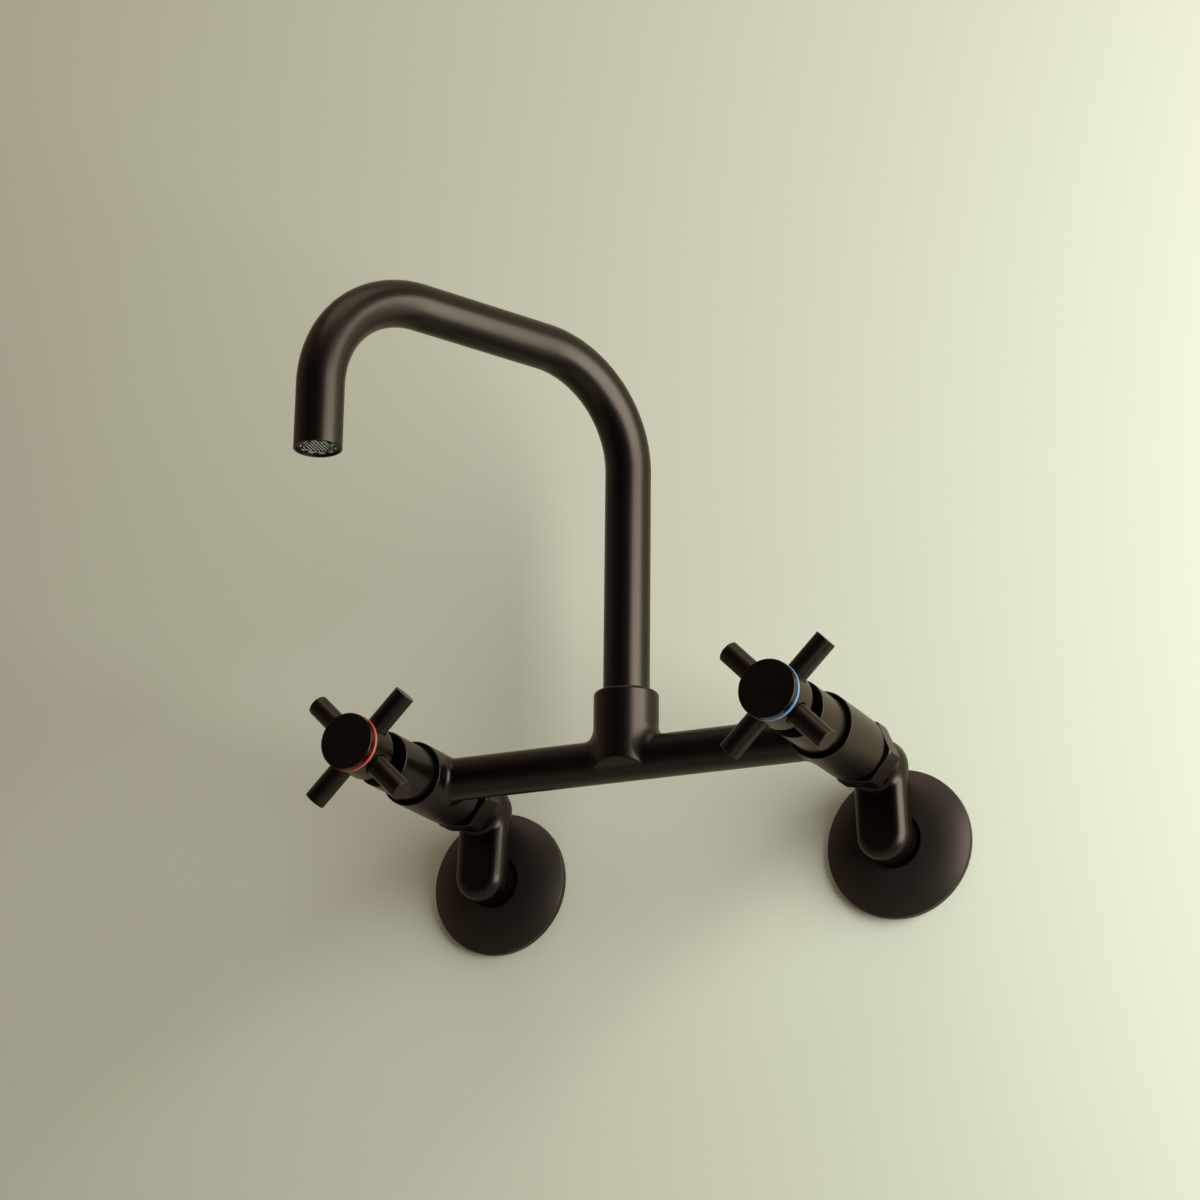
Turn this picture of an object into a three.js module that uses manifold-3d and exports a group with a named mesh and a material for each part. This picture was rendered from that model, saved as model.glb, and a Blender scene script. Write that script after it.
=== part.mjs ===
import * as THREE from 'three';
import { mergeVertices } from 'three/addons/utils/BufferGeometryUtils.js';
import Module from 'manifold-3d';

// Wall-mounted bridge kitchen faucet with two cross handles and a swivelling spout.
// Millimetres. x runs along the wall, y into the wall and z up. The origin lies on the
// wall face, midway between the two inlets. The hot side is at negative x.
// Places along a valve are given as distances out from the wall, so y is minus that distance.

const wasm = await Module();
wasm.setup();

// ---------------------------------------------------------------- driving dimensions

const GAP = 0.3; // between two pieces that touch or turn on each other

// Layout
const VALVE_CENTRES = 203.2; // between the two valve axes
const ARM_DROP = 32; // from a valve axis down to its inlet, along the swing arm
const ARM_LEAN = 2.5; // degrees that each swing arm leans outwards

// Wall flange
const FLANGE_RADIUS = 34.8;
const FLANGE_RIM = 3.4; // height of its straight rim
const FLANGE_HEIGHT = 9.6;
const FLANGE_WALL = 1.6;
const FLANGE_EDGE = 0.9; // rounding between rim and face
const FLANGE_FOOT = 2.4; // width of the ring that meets the wall
const FLANGE_CLEARANCE = 0.9; // round the stub of the swing arm
const FLANGE_CURVE = 1.6; // power of the dome's fall towards its rim, 1 a plain cone
const FLANGE_STEPS = [0.7, 0.35]; // where the dome's section is divided, 0 hub to 1 rim

// Swing arm
const LINK_RADIUS = 12.5; // half its width, and of its round ends
const LINK_BACK = 13; // out from the wall
const LINK_THICKNESS = 15;
const LINK_EDGE = 5; // rounding of its outline, back and front
const LINK_WALL = 3.2;
const STUB_RADIUS = 11.9;
const STUB_OUT = 1; // the inlet end, out from the wall
const SHANK_RADIUS = 11.8; // of the round neck behind the union
const SHANK_LENGTH = 10;
const SHANK_FILLET = 2.6; // where the shank leaves the link
const NOSE_RADIUS = 10.6;
const NOSE_LENGTH = 4.9; // past the shank
const WATERWAY_RADIUS = 7;
const PIPE_RADIUS = 9.4; // socket for a half-inch supply nipple
const PIPE_DEPTH = 16;

// Union between swing arm and valve
const RING_THICKNESS = 1.2; // spring ring that holds the nut on the nose
const RING_HEIGHT = 1.2; // above the nose
const RING_INSET = 0.7; // from the nose's end
const RING_MOUTH = 5; // width of the ring's split
const GROOVE_DEPTH = 0.7;
const WASHER_THICKNESS = 1.7;
const NECK_RADIUS = 12; // threaded neck of the valve body
const NECK_LENGTH = 11.8;
const NUT_FLATS = 28; // across flats
const NUT_LENGTH = 12;
const NUT_LIP = 2.4;
const NUT_CHAMFER = 1; // how far it comes down each corner
const NUT_FACE_RADIUS = 15.2; // where the chamfer starts, on its ends
const NUT_TURN = 7; // degrees from the x axis to one corner

// Valve body and bridge
const BODY_RADIUS = 15.4;
const BODY_LENGTH = 39.5;
const BODY_CHAMFER = 0.5;
const MOUTH_RADIUS = 14.6; // recess in its front, round the bonnet sleeve
const MOUTH_DEPTH = 4;
const BRIDGE_RADIUS = 10;
const BRIDGE_SETBACK = 21.5; // from the valve body's back to the bridge axis
const CHAMBER_RADIUS = 10.6;
const CHAMBER_DEPTH = 22.5; // behind the mouth

// Spout socket, above the bridge axis
const SOCKET_RADIUS = 15;
const SOCKET_HEIGHT = 31.5;
const SOCKET_SHOULDER = 3.6; // rounding at the top
const SOCKET_DROP = 2.2; // from the bridge axis down to the front edge of its underside
const SOCKET_SLOPE = 0.5; // fall of that underside, in to the tube
const SOCKET_MEET = 8.4; // out from the bridge axis, where the underside meets the tube
const SOCKET_DEPTH = 23.5;

// Cartridge
const CAGE_RADIUS = 9.6;
const CAGE_BORE = 7.8;
const CAGE_LENGTH = 14;
const CAGE_LIFT = 2; // above the chamber floor
const WINDOW_WIDTH = 7;
const WINDOW_HEIGHT = 4;
const SEAL_LENGTH = 3.7;
const SEAL_BORE = 4.5;
const DISC_THICKNESS = 3;
const DISC_HUB = 1.6; // solid middle of a ceramic disc
const DISC_RIM = 1.2; // solid edge of a ceramic disc
const DISC_WINDOW = 76; // degrees of each of its two openings
const PLATE_THICKNESS = 3; // drive plate of the stem
const COLLAR_RADIUS = 11.4;
const COLLAR_LENGTH = 4.7;
const HEX_FLATS = 18;
const HEX_LENGTH = 5;
const GLAND_RADIUS = 8;
const GLAND_NOSE_RADIUS = 7;
const GLAND_NOSE_LENGTH = 5;
const GLAND_SHORT = 3; // of the bonnet sleeve's front

// Stem
const STEM_RADIUS = 4.1;
const SPLINE_RADIUS = 4;
const SPLINE_DEPTH = 0.6;
const SPLINE_TEETH = 12;
const SPLINE_LENGTH = 17.5;

// Bonnet sleeve
const SLEEVE_RADIUS = 13.1;
const SLEEVE_WALL = 1.3;
const SLEEVE_LENGTH = 31.3;
const SLEEVE_WEB = 1.5; // inside, round the gland
const SLEEVE_RECESS = 7; // from its front to the web
const SLEEVE_CHAMFER = 0.4;

// Handle
const HANDLE_GAP = 12.4; // between bonnet sleeve and hub
const HUB_RADIUS = 13.05;
const HUB_LENGTH = 14.7;
const HUB_RECESS = 3;
const HUB_RECESS_RADIUS = 8.5;
const HUB_POCKET_RADIUS = 8;
const HUB_POCKET_DEPTH = 5.4;
const HUB_NECK_WALL = 3; // between the pocket and the index ring
const INDEX_RING_WIDTH = 1.5;
const INDEX_RING_PROUD = 0.2;
const CAP_THICKNESS = 3.1;
const CAP_EDGE = 0.5;
const LEVER_RADIUS = 5;
const LEVER_REACH = 32; // from the handle's axis to a lever's end
const LEVER_OFFSET = 7.9; // from the hub's back to the levers' axes
const LEVER_SEAT = 10.2; // radius of the bottom of a lever's socket
const LEVER_EDGE = 0.4;
const LEVER_COUNT = 4;
const LEVER_START = 45; // degrees from the x axis to the first lever
const SCREW_HEAD_RADIUS = 4.6;
const SCREW_HEAD_HEIGHT = 2.4;
const SCREW_RADIUS = 1.7;
const SCREW_LENGTH = 11;
const SCREW_KEY = 3; // across the flats of its key socket

// Spout
const SPOUT_RADIUS = 10.75;
const SPOUT_WALL = 1.2;
const SPOUT_REACH = 172; // from the riser's axis to the outlet's axis
const SPOUT_RISE = 190; // from the bridge axis to the arm's axis
const SPOUT_OUTLET = 109; // from the bridge axis to the outlet face
const BEND_RADIUS = 51;
const SPOUT_TURN = -26.5; // degrees of swivel at rest, 0 straight out from the wall
const SPIGOT_LENGTH = 8; // of the ferrule, inside the riser
const FERRULE_LENGTH = 15;
const O_RING_SECTION = 1.1; // radius
const O_RING_PITCH = 3.6;
const LOCK_GROOVE_WIDTH = 4.6;
const SLIP_RING_THICKNESS = 1;
const LOCK_SCREW_RADIUS = 2;
const LOCK_SCREW_KEY = 2;

// Outlet
const OUTLET_RECESS = 0.6; // of the aerator, in from the outlet face
const BUSH_WALL = 0.9;
const BUSH_LENGTH = 11;
const INSERT_LENGTH = 7.5;
const INSERT_BORE = 6.4;
const INSERT_GROOVE = 0.6; // width of the groove between its two lower rims
const INSERT_RIM = 0.4; // wall of the inner rim, round the screen
const INSERT_LEDGE = 1; // above the screen
const INSERT_NOTCHES = 10; // across its outer rim
const NOTCH_WIDTH = 2.4;
const NOTCH_DEPTH = 1.4;
const SCREEN_THICKNESS = 0.8;
const OUTLET_WASHER = 1.4;

// How finely round shapes are divided
const BROAD = 24; // sides of the wall flange and of the socket's bore
const ROUND = 20; // of what shows
const SMALL = 16; // of what is hidden or small
const TINY = 12;
const BEND_STEPS = 7;

// ---------------------------------------------------------------- places worked out from them

const radians = THREE.MathUtils.degToRad;
const valveHeight = ARM_DROP * Math.cos(radians(ARM_LEAN));

const linkFront = LINK_BACK + LINK_THICKNESS;
const channelBack = LINK_BACK + LINK_WALL;
const channelFront = linkFront - LINK_WALL;
const shankEnd = linkFront + SHANK_LENGTH;
const noseEnd = shankEnd + NOSE_LENGTH;
const ringFront = noseEnd - RING_INSET;
const ringBack = ringFront - RING_THICKNESS;
const nutBack = ringBack - GAP - NUT_LIP;
const nutFront = nutBack + NUT_LENGTH;
const neckEnd = noseEnd + WASHER_THICKNESS + 2 * GAP;
const bodyBack = neckEnd + NECK_LENGTH;
const bodyFront = bodyBack + BODY_LENGTH;
const bridgeOut = bodyBack + BRIDGE_SETBACK;
const mouthFloor = bodyFront - MOUTH_DEPTH;
const chamberFloor = mouthFloor - CHAMBER_DEPTH;

const sealEnd = chamberFloor + GAP + SEAL_LENGTH;
const fixedDisc = sealEnd + GAP;
const turningDisc = fixedDisc + DISC_THICKNESS + GAP;
const plateStart = turningDisc + DISC_THICKNESS + GAP;
const plateEnd = plateStart + PLATE_THICKNESS;
const cageBack = chamberFloor + CAGE_LIFT;
const cageFront = cageBack + CAGE_LENGTH;
const collarBack = mouthFloor + GAP;
const collarFront = collarBack + COLLAR_LENGTH;
const sleeveBack = mouthFloor + GAP;
const sleeveFront = sleeveBack + SLEEVE_LENGTH;
const webFront = sleeveFront - SLEEVE_RECESS;
const glandEnd = sleeveFront - GLAND_SHORT;

const hubBack = sleeveFront + HANDLE_GAP;
const hubFront = hubBack + HUB_LENGTH;
const hubNeck = hubFront + INDEX_RING_WIDTH + 2 * GAP;
const pocketFloor = hubNeck - HUB_POCKET_DEPTH;
const neckRadius = HUB_POCKET_RADIUS + HUB_NECK_WALL;
const leverOut = hubBack + LEVER_OFFSET;
const stemEnd = pocketFloor - GAP;
const screwSeat = pocketFloor + GAP;
const capBack = hubNeck + GAP;
const capFront = capBack + CAP_THICKNESS;

const socketTop = SOCKET_HEIGHT;
const socketFloor = socketTop - SOCKET_DEPTH;
const spoutBore = SPOUT_RADIUS - SPOUT_WALL;
const socketBore = SPOUT_RADIUS + 2 * GAP;
const ferruleRadius = socketBore - GAP;
const spoutSealRadius = socketBore - GAP / 2 - O_RING_SECTION;
const flangeSealRadius = STUB_RADIUS + GAP + O_RING_SECTION;
const ferruleBottom = socketFloor + SLIP_RING_THICKNESS + 2 * GAP;
const ferruleTop = ferruleBottom + FERRULE_LENGTH;
const riserBottom = ferruleTop + GAP;
const lockHeight = ferruleTop - GAP - LOCK_GROOVE_WIDTH / 2;

// ---------------------------------------------------------------- shaping tools

/** A closed geometry as a solid: shared corners are merged and collapsed triangles dropped. */
function solidOf(geometry) {
  const bare = geometry.clone();
  bare.deleteAttribute('normal');
  bare.deleteAttribute('uv');
  const merged = mergeVertices(bare);
  const corners = merged.index.array;
  const triangles = [];
  for (let i = 0; i < corners.length; i += 3) {
    const [a, b, c] = corners.slice(i, i + 3);
    if (a !== b && b !== c && c !== a) triangles.push(a, b, c);
  }
  return new wasm.Manifold(new wasm.Mesh({
    numProp: 3,
    vertProperties: new Float32Array(merged.attributes.position.array),
    triVerts: new Uint32Array(triangles),
  }));
}

/** A solid back as a geometry that a mesh can show. */
function geometryOf(solid) {
  const { vertProperties, triVerts } = solid.getMesh();
  const geometry = new THREE.BufferGeometry();
  geometry.setAttribute('position', new THREE.BufferAttribute(vertProperties, 3));
  geometry.setIndex(new THREE.BufferAttribute(triVerts, 1));
  geometry.computeVertexNormals();
  return geometry;
}

/** A profile of [radius, height] corners turned about the y axis. */
function lathe(profile, segments) {
  return new THREE.LatheGeometry(profile.map(([r, h]) => new THREE.Vector2(r, h)), segments);
}

/** Turned about an axis square to the wall: a profile of [radius, distance out]. */
function turned(profile, segments = ROUND) {
  return solidOf(lathe(profile, segments).rotateX(Math.PI));
}

/** Turned about an upright axis: a profile of [radius, height]. */
function upright(profile, segments = ROUND) {
  return solidOf(lathe(profile, segments).rotateX(Math.PI / 2));
}

/** A rod's profile, from one height to another, on the axis at both ends. */
function rod(radius, from, to, edge = 0) {
  if (edge === 0) return [[0, from], [radius, from], [radius, to], [0, to]];
  return [
    [0, from], [radius - edge, from], [radius, from + edge],
    [radius, to - edge], [radius - edge, to], [0, to],
  ];
}

/** A ring's closed profile. */
function ring(inner, outer, from, to) {
  return [[inner, from], [outer, from], [outer, to], [inner, to], [inner, from]];
}

/** Points on an arc, in degrees anticlockwise from the first axis. */
function arc([x, y], [rx, ry], from, to, steps) {
  return Array.from({ length: steps + 1 }, (_, i) => {
    const angle = radians(from + (to - from) * i / steps);
    return [x + rx * Math.cos(angle), y + ry * Math.sin(angle)];
  });
}

/** An O-ring's closed profile: its section is a hexagon round [radius, height]. */
function roundSection(radius, height, section) {
  return arc([radius, height], [section, section], 0, 360, 6);
}

/** From the middle of a hexagon to a corner. */
function hexCorner(flats) {
  return flats / 2 / Math.cos(Math.PI / 6);
}

/** A six-sided prism square to the wall, one corner at the given turn. */
function hexagon(flats, from, to, turn = 0) {
  const corner = hexCorner(flats);
  const shape = new THREE.CylinderGeometry(corner, corner, to - from, 6);
  shape.rotateY(Math.PI / 2).translate(0, (from + to) / 2, 0).rotateX(Math.PI);
  return solidOf(shape.rotateY(-radians(turn)));
}

/** A flat shape, given by [x, z] corners, as a prism square to the wall. */
function prism(corners, from, to) {
  const shape = new THREE.Shape(corners.map(([x, z]) => new THREE.Vector2(x, z)));
  const block = new THREE.ExtrudeGeometry(shape, { depth: to - from, bevelEnabled: false });
  return solidOf(block.rotateX(Math.PI / 2).translate(0, -from, 0));
}

/** A box between two corners. */
function box([x0, y0, z0], [x1, y1, z1]) {
  const block = new THREE.BoxGeometry(x1 - x0, y1 - y0, z1 - z0);
  return solidOf(block.translate((x0 + x1) / 2, (y0 + y1) / 2, (z0 + z1) / 2));
}

/** The spout's centre line: riser, bend, level arm, bend and drop, square to the wall. */
class SpoutLine extends THREE.Curve {
  constructor(bottom, outlet) {
    super();
    this.bottom = bottom;
    this.outlet = outlet;
    this.steps = 2 * BEND_STEPS + 3;
  }

  /** The height and distance out, and the angle that the line has turned from upright. */
  place(t) {
    const step = t * this.steps;
    const bendStart = SPOUT_RISE - BEND_RADIUS;
    const turnAt = (done) => Math.PI / 2 * Math.min(Math.max(done / BEND_STEPS, 0), 1);
    const first = turnAt(step - 1);
    const second = turnAt(step - BEND_STEPS - 2);
    const onArm = Math.min(Math.max(step - BEND_STEPS - 1, 0), 1);
    const riser = this.bottom + (bendStart - this.bottom) * Math.min(step, 1);
    const drop = (bendStart - this.outlet) * Math.max(step - this.steps + 1, 0);
    const armLength = SPOUT_REACH - 2 * BEND_RADIUS;
    return {
      out: BEND_RADIUS * (1 - Math.cos(first) + Math.sin(second)) + armLength * onArm,
      height: riser + BEND_RADIUS * (Math.sin(first) - 1 + Math.cos(second)) - drop,
      turn: first + second,
    };
  }

  getPoint(t) {
    const { out, height } = this.place(t);
    return new THREE.Vector3(0, -out, height);
  }

  getTangent(t) {
    const { turn } = this.place(t);
    return new THREE.Vector3(0, -Math.sin(turn), Math.cos(turn));
  }

  // Steps fall where the line bends, and not at even lengths along it.
  getPointAt(u) {
    return this.getPoint(u);
  }

  getTangentAt(u) {
    return this.getTangent(u);
  }
}

/** A round bar along the spout's centre line. */
function spoutBar(radius, bottom, outlet, segments) {
  const line = new SpoutLine(bottom, outlet);
  const corners = arc([0, 0], [radius, radius], 0, 360, segments).slice(0, -1);
  const section = new THREE.Shape(corners.map(([x, y]) => new THREE.Vector2(x, y)));
  return solidOf(new THREE.ExtrudeGeometry(section, {
    steps: line.steps,
    extrudePath: line,
    bevelEnabled: false,
  }));
}

// ---------------------------------------------------------------- finishes

const FINISHES = {
  bronze: { color: 0x2b211c, roughness: 0.38, metalness: 0.85 },
  brass: { color: 0xb08d4a, roughness: 0.35, metalness: 1 },
  steel: { color: 0xa8abb0, roughness: 0.3, metalness: 1 },
  rubber: { color: 0x1a1a1a, roughness: 0.85, metalness: 0 },
  plastic: { color: 0xc9c9c4, roughness: 0.5, metalness: 0 },
  ceramic: { color: 0xeeeae0, roughness: 0.25, metalness: 0 },
  red: { color: 0xc2321f, roughness: 0.4, metalness: 0 },
  blue: { color: 0x2f6fc4, roughness: 0.4, metalness: 0 },
};

/** Adds one named piece to a group. */
function place(group, name, solid, finish) {
  const piece = new THREE.Mesh(geometryOf(solid), new THREE.MeshStandardMaterial(FINISHES[finish]));
  piece.name = name;
  group.add(piece);
}

// ---------------------------------------------------------------- valve bodies, bridge and socket

/** One valve body on its own axis: a chamber in front, a threaded neck behind. */
function valveBody() {
  return turned([
    [0, neckEnd],
    [NECK_RADIUS, neckEnd],
    [NECK_RADIUS, bodyBack],
    [BODY_RADIUS - BODY_CHAMFER, bodyBack],
    [BODY_RADIUS, bodyBack + BODY_CHAMFER],
    [BODY_RADIUS, bodyFront - BODY_CHAMFER],
    [BODY_RADIUS - BODY_CHAMFER, bodyFront],
    [0, bodyFront],
  ]);
}

/** The hollow of one valve body: the way in from the union, then the cartridge's chamber. */
function valveBore() {
  return turned([
    [0, neckEnd - 1],
    [WATERWAY_RADIUS, neckEnd - 1],
    [WATERWAY_RADIUS, chamberFloor],
    [CHAMBER_RADIUS, chamberFloor],
    [CHAMBER_RADIUS, mouthFloor],
    [MOUTH_RADIUS, mouthFloor],
    [MOUTH_RADIUS, bodyFront + 1],
    [0, bodyFront + 1],
  ], SMALL);
}

/** The spout socket: a column whose underside slopes in to the tube, front and back. */
function socketBody() {
  const shoulder = [SOCKET_RADIUS - SOCKET_SHOULDER, socketTop - SOCKET_SHOULDER];
  const past = SOCKET_RADIUS + 1;
  const underside = (out) => (SOCKET_RADIUS - out) * -SOCKET_SLOPE - SOCKET_DROP;
  const column = upright([
    [0, underside(SOCKET_MEET) - 1],
    [SOCKET_RADIUS, underside(SOCKET_MEET) - 1],
    ...arc(shoulder, [SOCKET_SHOULDER, SOCKET_SHOULDER], 0, 90, 3),
    [0, socketTop],
  ]);
  const outline = prism([
    [-past, socketTop + 1],
    [-past, underside(past)],
    [-SOCKET_MEET, underside(SOCKET_MEET)],
    [SOCKET_MEET, underside(SOCKET_MEET)],
    [past, underside(past)],
    [past, socketTop + 1],
  ], -past, past);
  return column.intersect(outline.rotate([0, 0, 90]));
}

/** The socket's bore, with its way down into the bridge. */
function socketHollow() {
  return upright([
    [0, 0],
    [WATERWAY_RADIUS, 0],
    [WATERWAY_RADIUS, socketFloor],
    [socketBore, socketFloor],
    [socketBore, socketTop + 1],
    [0, socketTop + 1],
  ], BROAD);
}

function bridgeBody() {
  const across = (radius, segments) => {
    const bar = new THREE.CylinderGeometry(radius, radius, VALVE_CENTRES, segments);
    return solidOf(bar.rotateZ(Math.PI / 2)).translate([0, -bridgeOut, 0]);
  };
  const lockHole = upright(rod(LOCK_SCREW_RADIUS + GAP / 2, 0, SOCKET_RADIUS + 1), TINY)
    .rotate([-90, 0, 0]).translate([0, -bridgeOut, lockHeight]);
  const middle = (solid) => solid.translate([0, -bridgeOut, 0]);
  const beside = (solid, side) => solid.translate([side * VALVE_CENTRES / 2, 0, 0]);
  return across(BRIDGE_RADIUS, ROUND)
    .add(middle(socketBody()))
    .add(beside(valveBody(), -1))
    .add(beside(valveBody(), 1))
    .subtract(across(WATERWAY_RADIUS, TINY))
    .subtract(middle(socketHollow()))
    .subtract(beside(valveBore(), -1))
    .subtract(beside(valveBore(), 1))
    .subtract(lockHole);
}

// ---------------------------------------------------------------- wall flange and swing arm

/** A shallow domed cover with a foot on the wall and a seat for its O-ring. */
function wallFlange() {
  const hole = STUB_RADIUS + FLANGE_CLEARANCE;
  const seat = flangeSealRadius + O_RING_SECTION + GAP / 2;
  const edge = [FLANGE_RADIUS - FLANGE_EDGE, FLANGE_RIM];
  const inner = FLANGE_RADIUS - FLANGE_FOOT;
  const crown = FLANGE_HEIGHT - FLANGE_RIM - FLANGE_EDGE;
  const fall = (r) => ((r - hole) / (edge[0] - hole)) ** FLANGE_CURVE;
  const dome = (r) => FLANGE_HEIGHT - crown * fall(r);
  const middle = (hole + edge[0]) / 2;
  return turned([
    [inner, 0],
    [FLANGE_RADIUS, 0],
    [FLANGE_RADIUS, FLANGE_RIM],
    ...arc(edge, [FLANGE_EDGE, FLANGE_EDGE], 45, 90, 1),
    ...FLANGE_STEPS.map((t) => hole + t * (edge[0] - hole)).map((r) => [r, dome(r)]),
    [hole, FLANGE_HEIGHT],
    [hole, FLANGE_HEIGHT - FLANGE_WALL],
    [seat, FLANGE_HEIGHT - FLANGE_WALL],
    [seat, FLANGE_HEIGHT - 2 * FLANGE_WALL - O_RING_SECTION],
    [seat + FLANGE_WALL, FLANGE_HEIGHT - 2 * FLANGE_WALL - O_RING_SECTION],
    [middle, dome(middle) - FLANGE_WALL],
    [inner, FLANGE_RIM - FLANGE_WALL / 2],
    [inner, 0],
  ], BROAD);
}

/** Sits in the flange's hub and grips the stub. */
function flangeSeal() {
  const out = FLANGE_HEIGHT - FLANGE_WALL - GAP - O_RING_SECTION;
  return turned(roundSection(flangeSealRadius, out, O_RING_SECTION), SMALL);
}

/** The swing arm's outline, a slot that hangs from the valve's axis, as a slab with rounded edges. */
function slab(radius, from, to, edge) {
  const shape = new THREE.Shape();
  shape.absarc(0, 0, radius - edge, 0, Math.PI);
  shape.absarc(0, -ARM_DROP, radius - edge, Math.PI, 2 * Math.PI);
  const block = new THREE.ExtrudeGeometry(shape, {
    depth: to - from - 2 * edge,
    bevelEnabled: edge > 0,
    bevelThickness: edge,
    bevelSize: edge,
    bevelSegments: 2,
    curveSegments: 6,
  });
  return solidOf(block.rotateX(Math.PI / 2).translate(0, -from - edge, 0));
}

/** A hollow link: round shank and nose to the valve in front, round stub to the wall behind. */
function swingArm() {
  const grooveBack = ringBack - GAP / 2;
  const grooveFront = ringFront + GAP / 2;
  const fillet = [SHANK_RADIUS + SHANK_FILLET, linkFront + SHANK_FILLET];
  const shank = turned([
    [0, channelFront],
    [SHANK_RADIUS, channelFront],
    [SHANK_RADIUS, shankEnd],
    [NOSE_RADIUS, shankEnd],
    [NOSE_RADIUS, grooveBack],
    [NOSE_RADIUS - GROOVE_DEPTH, grooveBack],
    [NOSE_RADIUS - GROOVE_DEPTH, grooveFront],
    [NOSE_RADIUS, grooveFront],
    [NOSE_RADIUS, noseEnd],
    [0, noseEnd],
  ]);
  const flare = turned([
    [0, linkFront - LINK_EDGE],
    [fillet[0], linkFront - LINK_EDGE],
    ...arc(fillet, [SHANK_FILLET, SHANK_FILLET], 270, 180, 3),
    [0, linkFront + SHANK_FILLET],
  ]).intersect(slab(LINK_RADIUS - LINK_EDGE / 2, LINK_BACK, fillet[1] + 1, 0));
  const stub = turned(rod(STUB_RADIUS, STUB_OUT, channelBack), ROUND).translate([0, 0, -ARM_DROP]);
  const shankBore = turned(rod(WATERWAY_RADIUS, channelBack, noseEnd + 1), SMALL);
  const inlet = turned([
    [0, STUB_OUT - 1],
    [PIPE_RADIUS, STUB_OUT - 1],
    [PIPE_RADIUS, STUB_OUT + PIPE_DEPTH],
    [WATERWAY_RADIUS, STUB_OUT + PIPE_DEPTH],
    [WATERWAY_RADIUS, channelFront],
    [0, channelFront],
  ], SMALL).translate([0, 0, -ARM_DROP]);
  return slab(LINK_RADIUS, LINK_BACK, linkFront, LINK_EDGE)
    .add(shank)
    .add(flare)
    .add(stub)
    .subtract(slab(LINK_RADIUS - LINK_WALL, channelBack, channelFront, 0))
    .subtract(shankBore)
    .subtract(inlet);
}

// ---------------------------------------------------------------- union

/** Spring ring in the nose's groove, split on one side. */
function snapRing() {
  const inner = NOSE_RADIUS - GROOVE_DEPTH + GAP / 2;
  const outer = NOSE_RADIUS + RING_HEIGHT;
  const split = box([-RING_MOUTH / 2, -noseEnd, 0], [RING_MOUTH / 2, -shankEnd, outer + 1]);
  return turned(ring(inner, outer, ringBack, ringFront)).subtract(split);
}

function unionWasher() {
  return turned(
    ring(WATERWAY_RADIUS, NECK_RADIUS - GAP, noseEnd + GAP, noseEnd + GAP + WASHER_THICKNESS),
    SMALL,
  );
}

/** Hexagon with its corners chamfered at both ends, and a lip at the back. */
function unionNut() {
  const corner = hexCorner(NUT_FLATS);
  const hex = hexagon(NUT_FLATS, nutBack, nutFront, NUT_TURN).intersect(turned([
    [0, nutBack],
    [NUT_FACE_RADIUS, nutBack],
    [corner, nutBack + NUT_CHAMFER],
    [corner, nutFront - NUT_CHAMFER],
    [NUT_FACE_RADIUS, nutFront],
    [0, nutFront],
  ]));
  const hollow = turned([
    [0, nutBack - 1],
    [NOSE_RADIUS + GAP, nutBack - 1],
    [NOSE_RADIUS + GAP, nutBack + NUT_LIP],
    [NECK_RADIUS + GAP, nutBack + NUT_LIP],
    [NECK_RADIUS + GAP, nutFront + 1],
    [0, nutFront + 1],
  ], SMALL);
  return hex.subtract(hollow);
}

// ---------------------------------------------------------------- cartridge

/** Rubber seal between the chamber floor and the fixed disc. */
function seatSeal() {
  return turned(ring(SEAL_BORE, CAGE_BORE - GAP, chamberFloor + GAP, sealEnd), SMALL);
}

/** A ceramic disc with two opposite openings, the first one round the given angle. */
function ceramicDisc(from, turn) {
  const radius = CAGE_BORE - GAP;
  const outer = radius - DISC_RIM;
  const half = DISC_WINDOW / 2;
  const windowAt = (middle) => prism([
    ...arc([0, 0], [outer, outer], middle - half, middle + half, 5),
    ...arc([0, 0], [DISC_HUB, DISC_HUB], middle + half, middle - half, 2),
  ], from - 1, from + DISC_THICKNESS + 1);
  return turned(rod(radius, from, from + DISC_THICKNESS), SMALL)
    .subtract(windowAt(turn))
    .subtract(windowAt(turn + 180));
}

/** Brass housing: cage for the discs, thread, collar, hexagon and gland for the stem. */
function cartridgeBody() {
  const threadRadius = CHAMBER_RADIUS - GAP;
  const stemBore = STEM_RADIUS + GAP;
  const shell = turned([
    [CAGE_BORE, cageBack],
    [CAGE_RADIUS, cageBack],
    [CAGE_RADIUS, cageFront],
    [threadRadius, cageFront],
    [threadRadius, collarBack],
    [COLLAR_RADIUS, collarBack],
    [COLLAR_RADIUS, collarFront],
    [GLAND_RADIUS, collarFront],
    [GLAND_RADIUS, glandEnd - GLAND_NOSE_LENGTH],
    [GLAND_NOSE_RADIUS, glandEnd - GLAND_NOSE_LENGTH],
    [GLAND_NOSE_RADIUS, glandEnd],
    [stemBore, glandEnd],
    [stemBore, plateEnd + GAP],
    [CAGE_BORE, plateEnd + GAP],
    [CAGE_BORE, cageBack],
  ], SMALL);
  const nut = hexagon(HEX_FLATS, collarFront - GAP, collarFront + HEX_LENGTH)
    .subtract(turned(rod(stemBore + 1, collarFront - 1, collarFront + HEX_LENGTH + 1), TINY));
  const windows = box(
    [-CAGE_RADIUS - 1, -plateEnd, -WINDOW_WIDTH / 2],
    [CAGE_RADIUS + 1, -plateEnd + WINDOW_HEIGHT, WINDOW_WIDTH / 2],
  );
  return shell.add(nut).subtract(windows);
}

/** Outline of the splines, as [x, z] corners, larger by the clearance. */
function splineOutline(clearance) {
  return Array.from({ length: 2 * SPLINE_TEETH }, (_, i) => {
    const radius = SPLINE_RADIUS + clearance - (i % 2) * SPLINE_DEPTH;
    const angle = Math.PI * i / SPLINE_TEETH;
    return [radius * Math.cos(angle), radius * Math.sin(angle)];
  });
}

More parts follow.
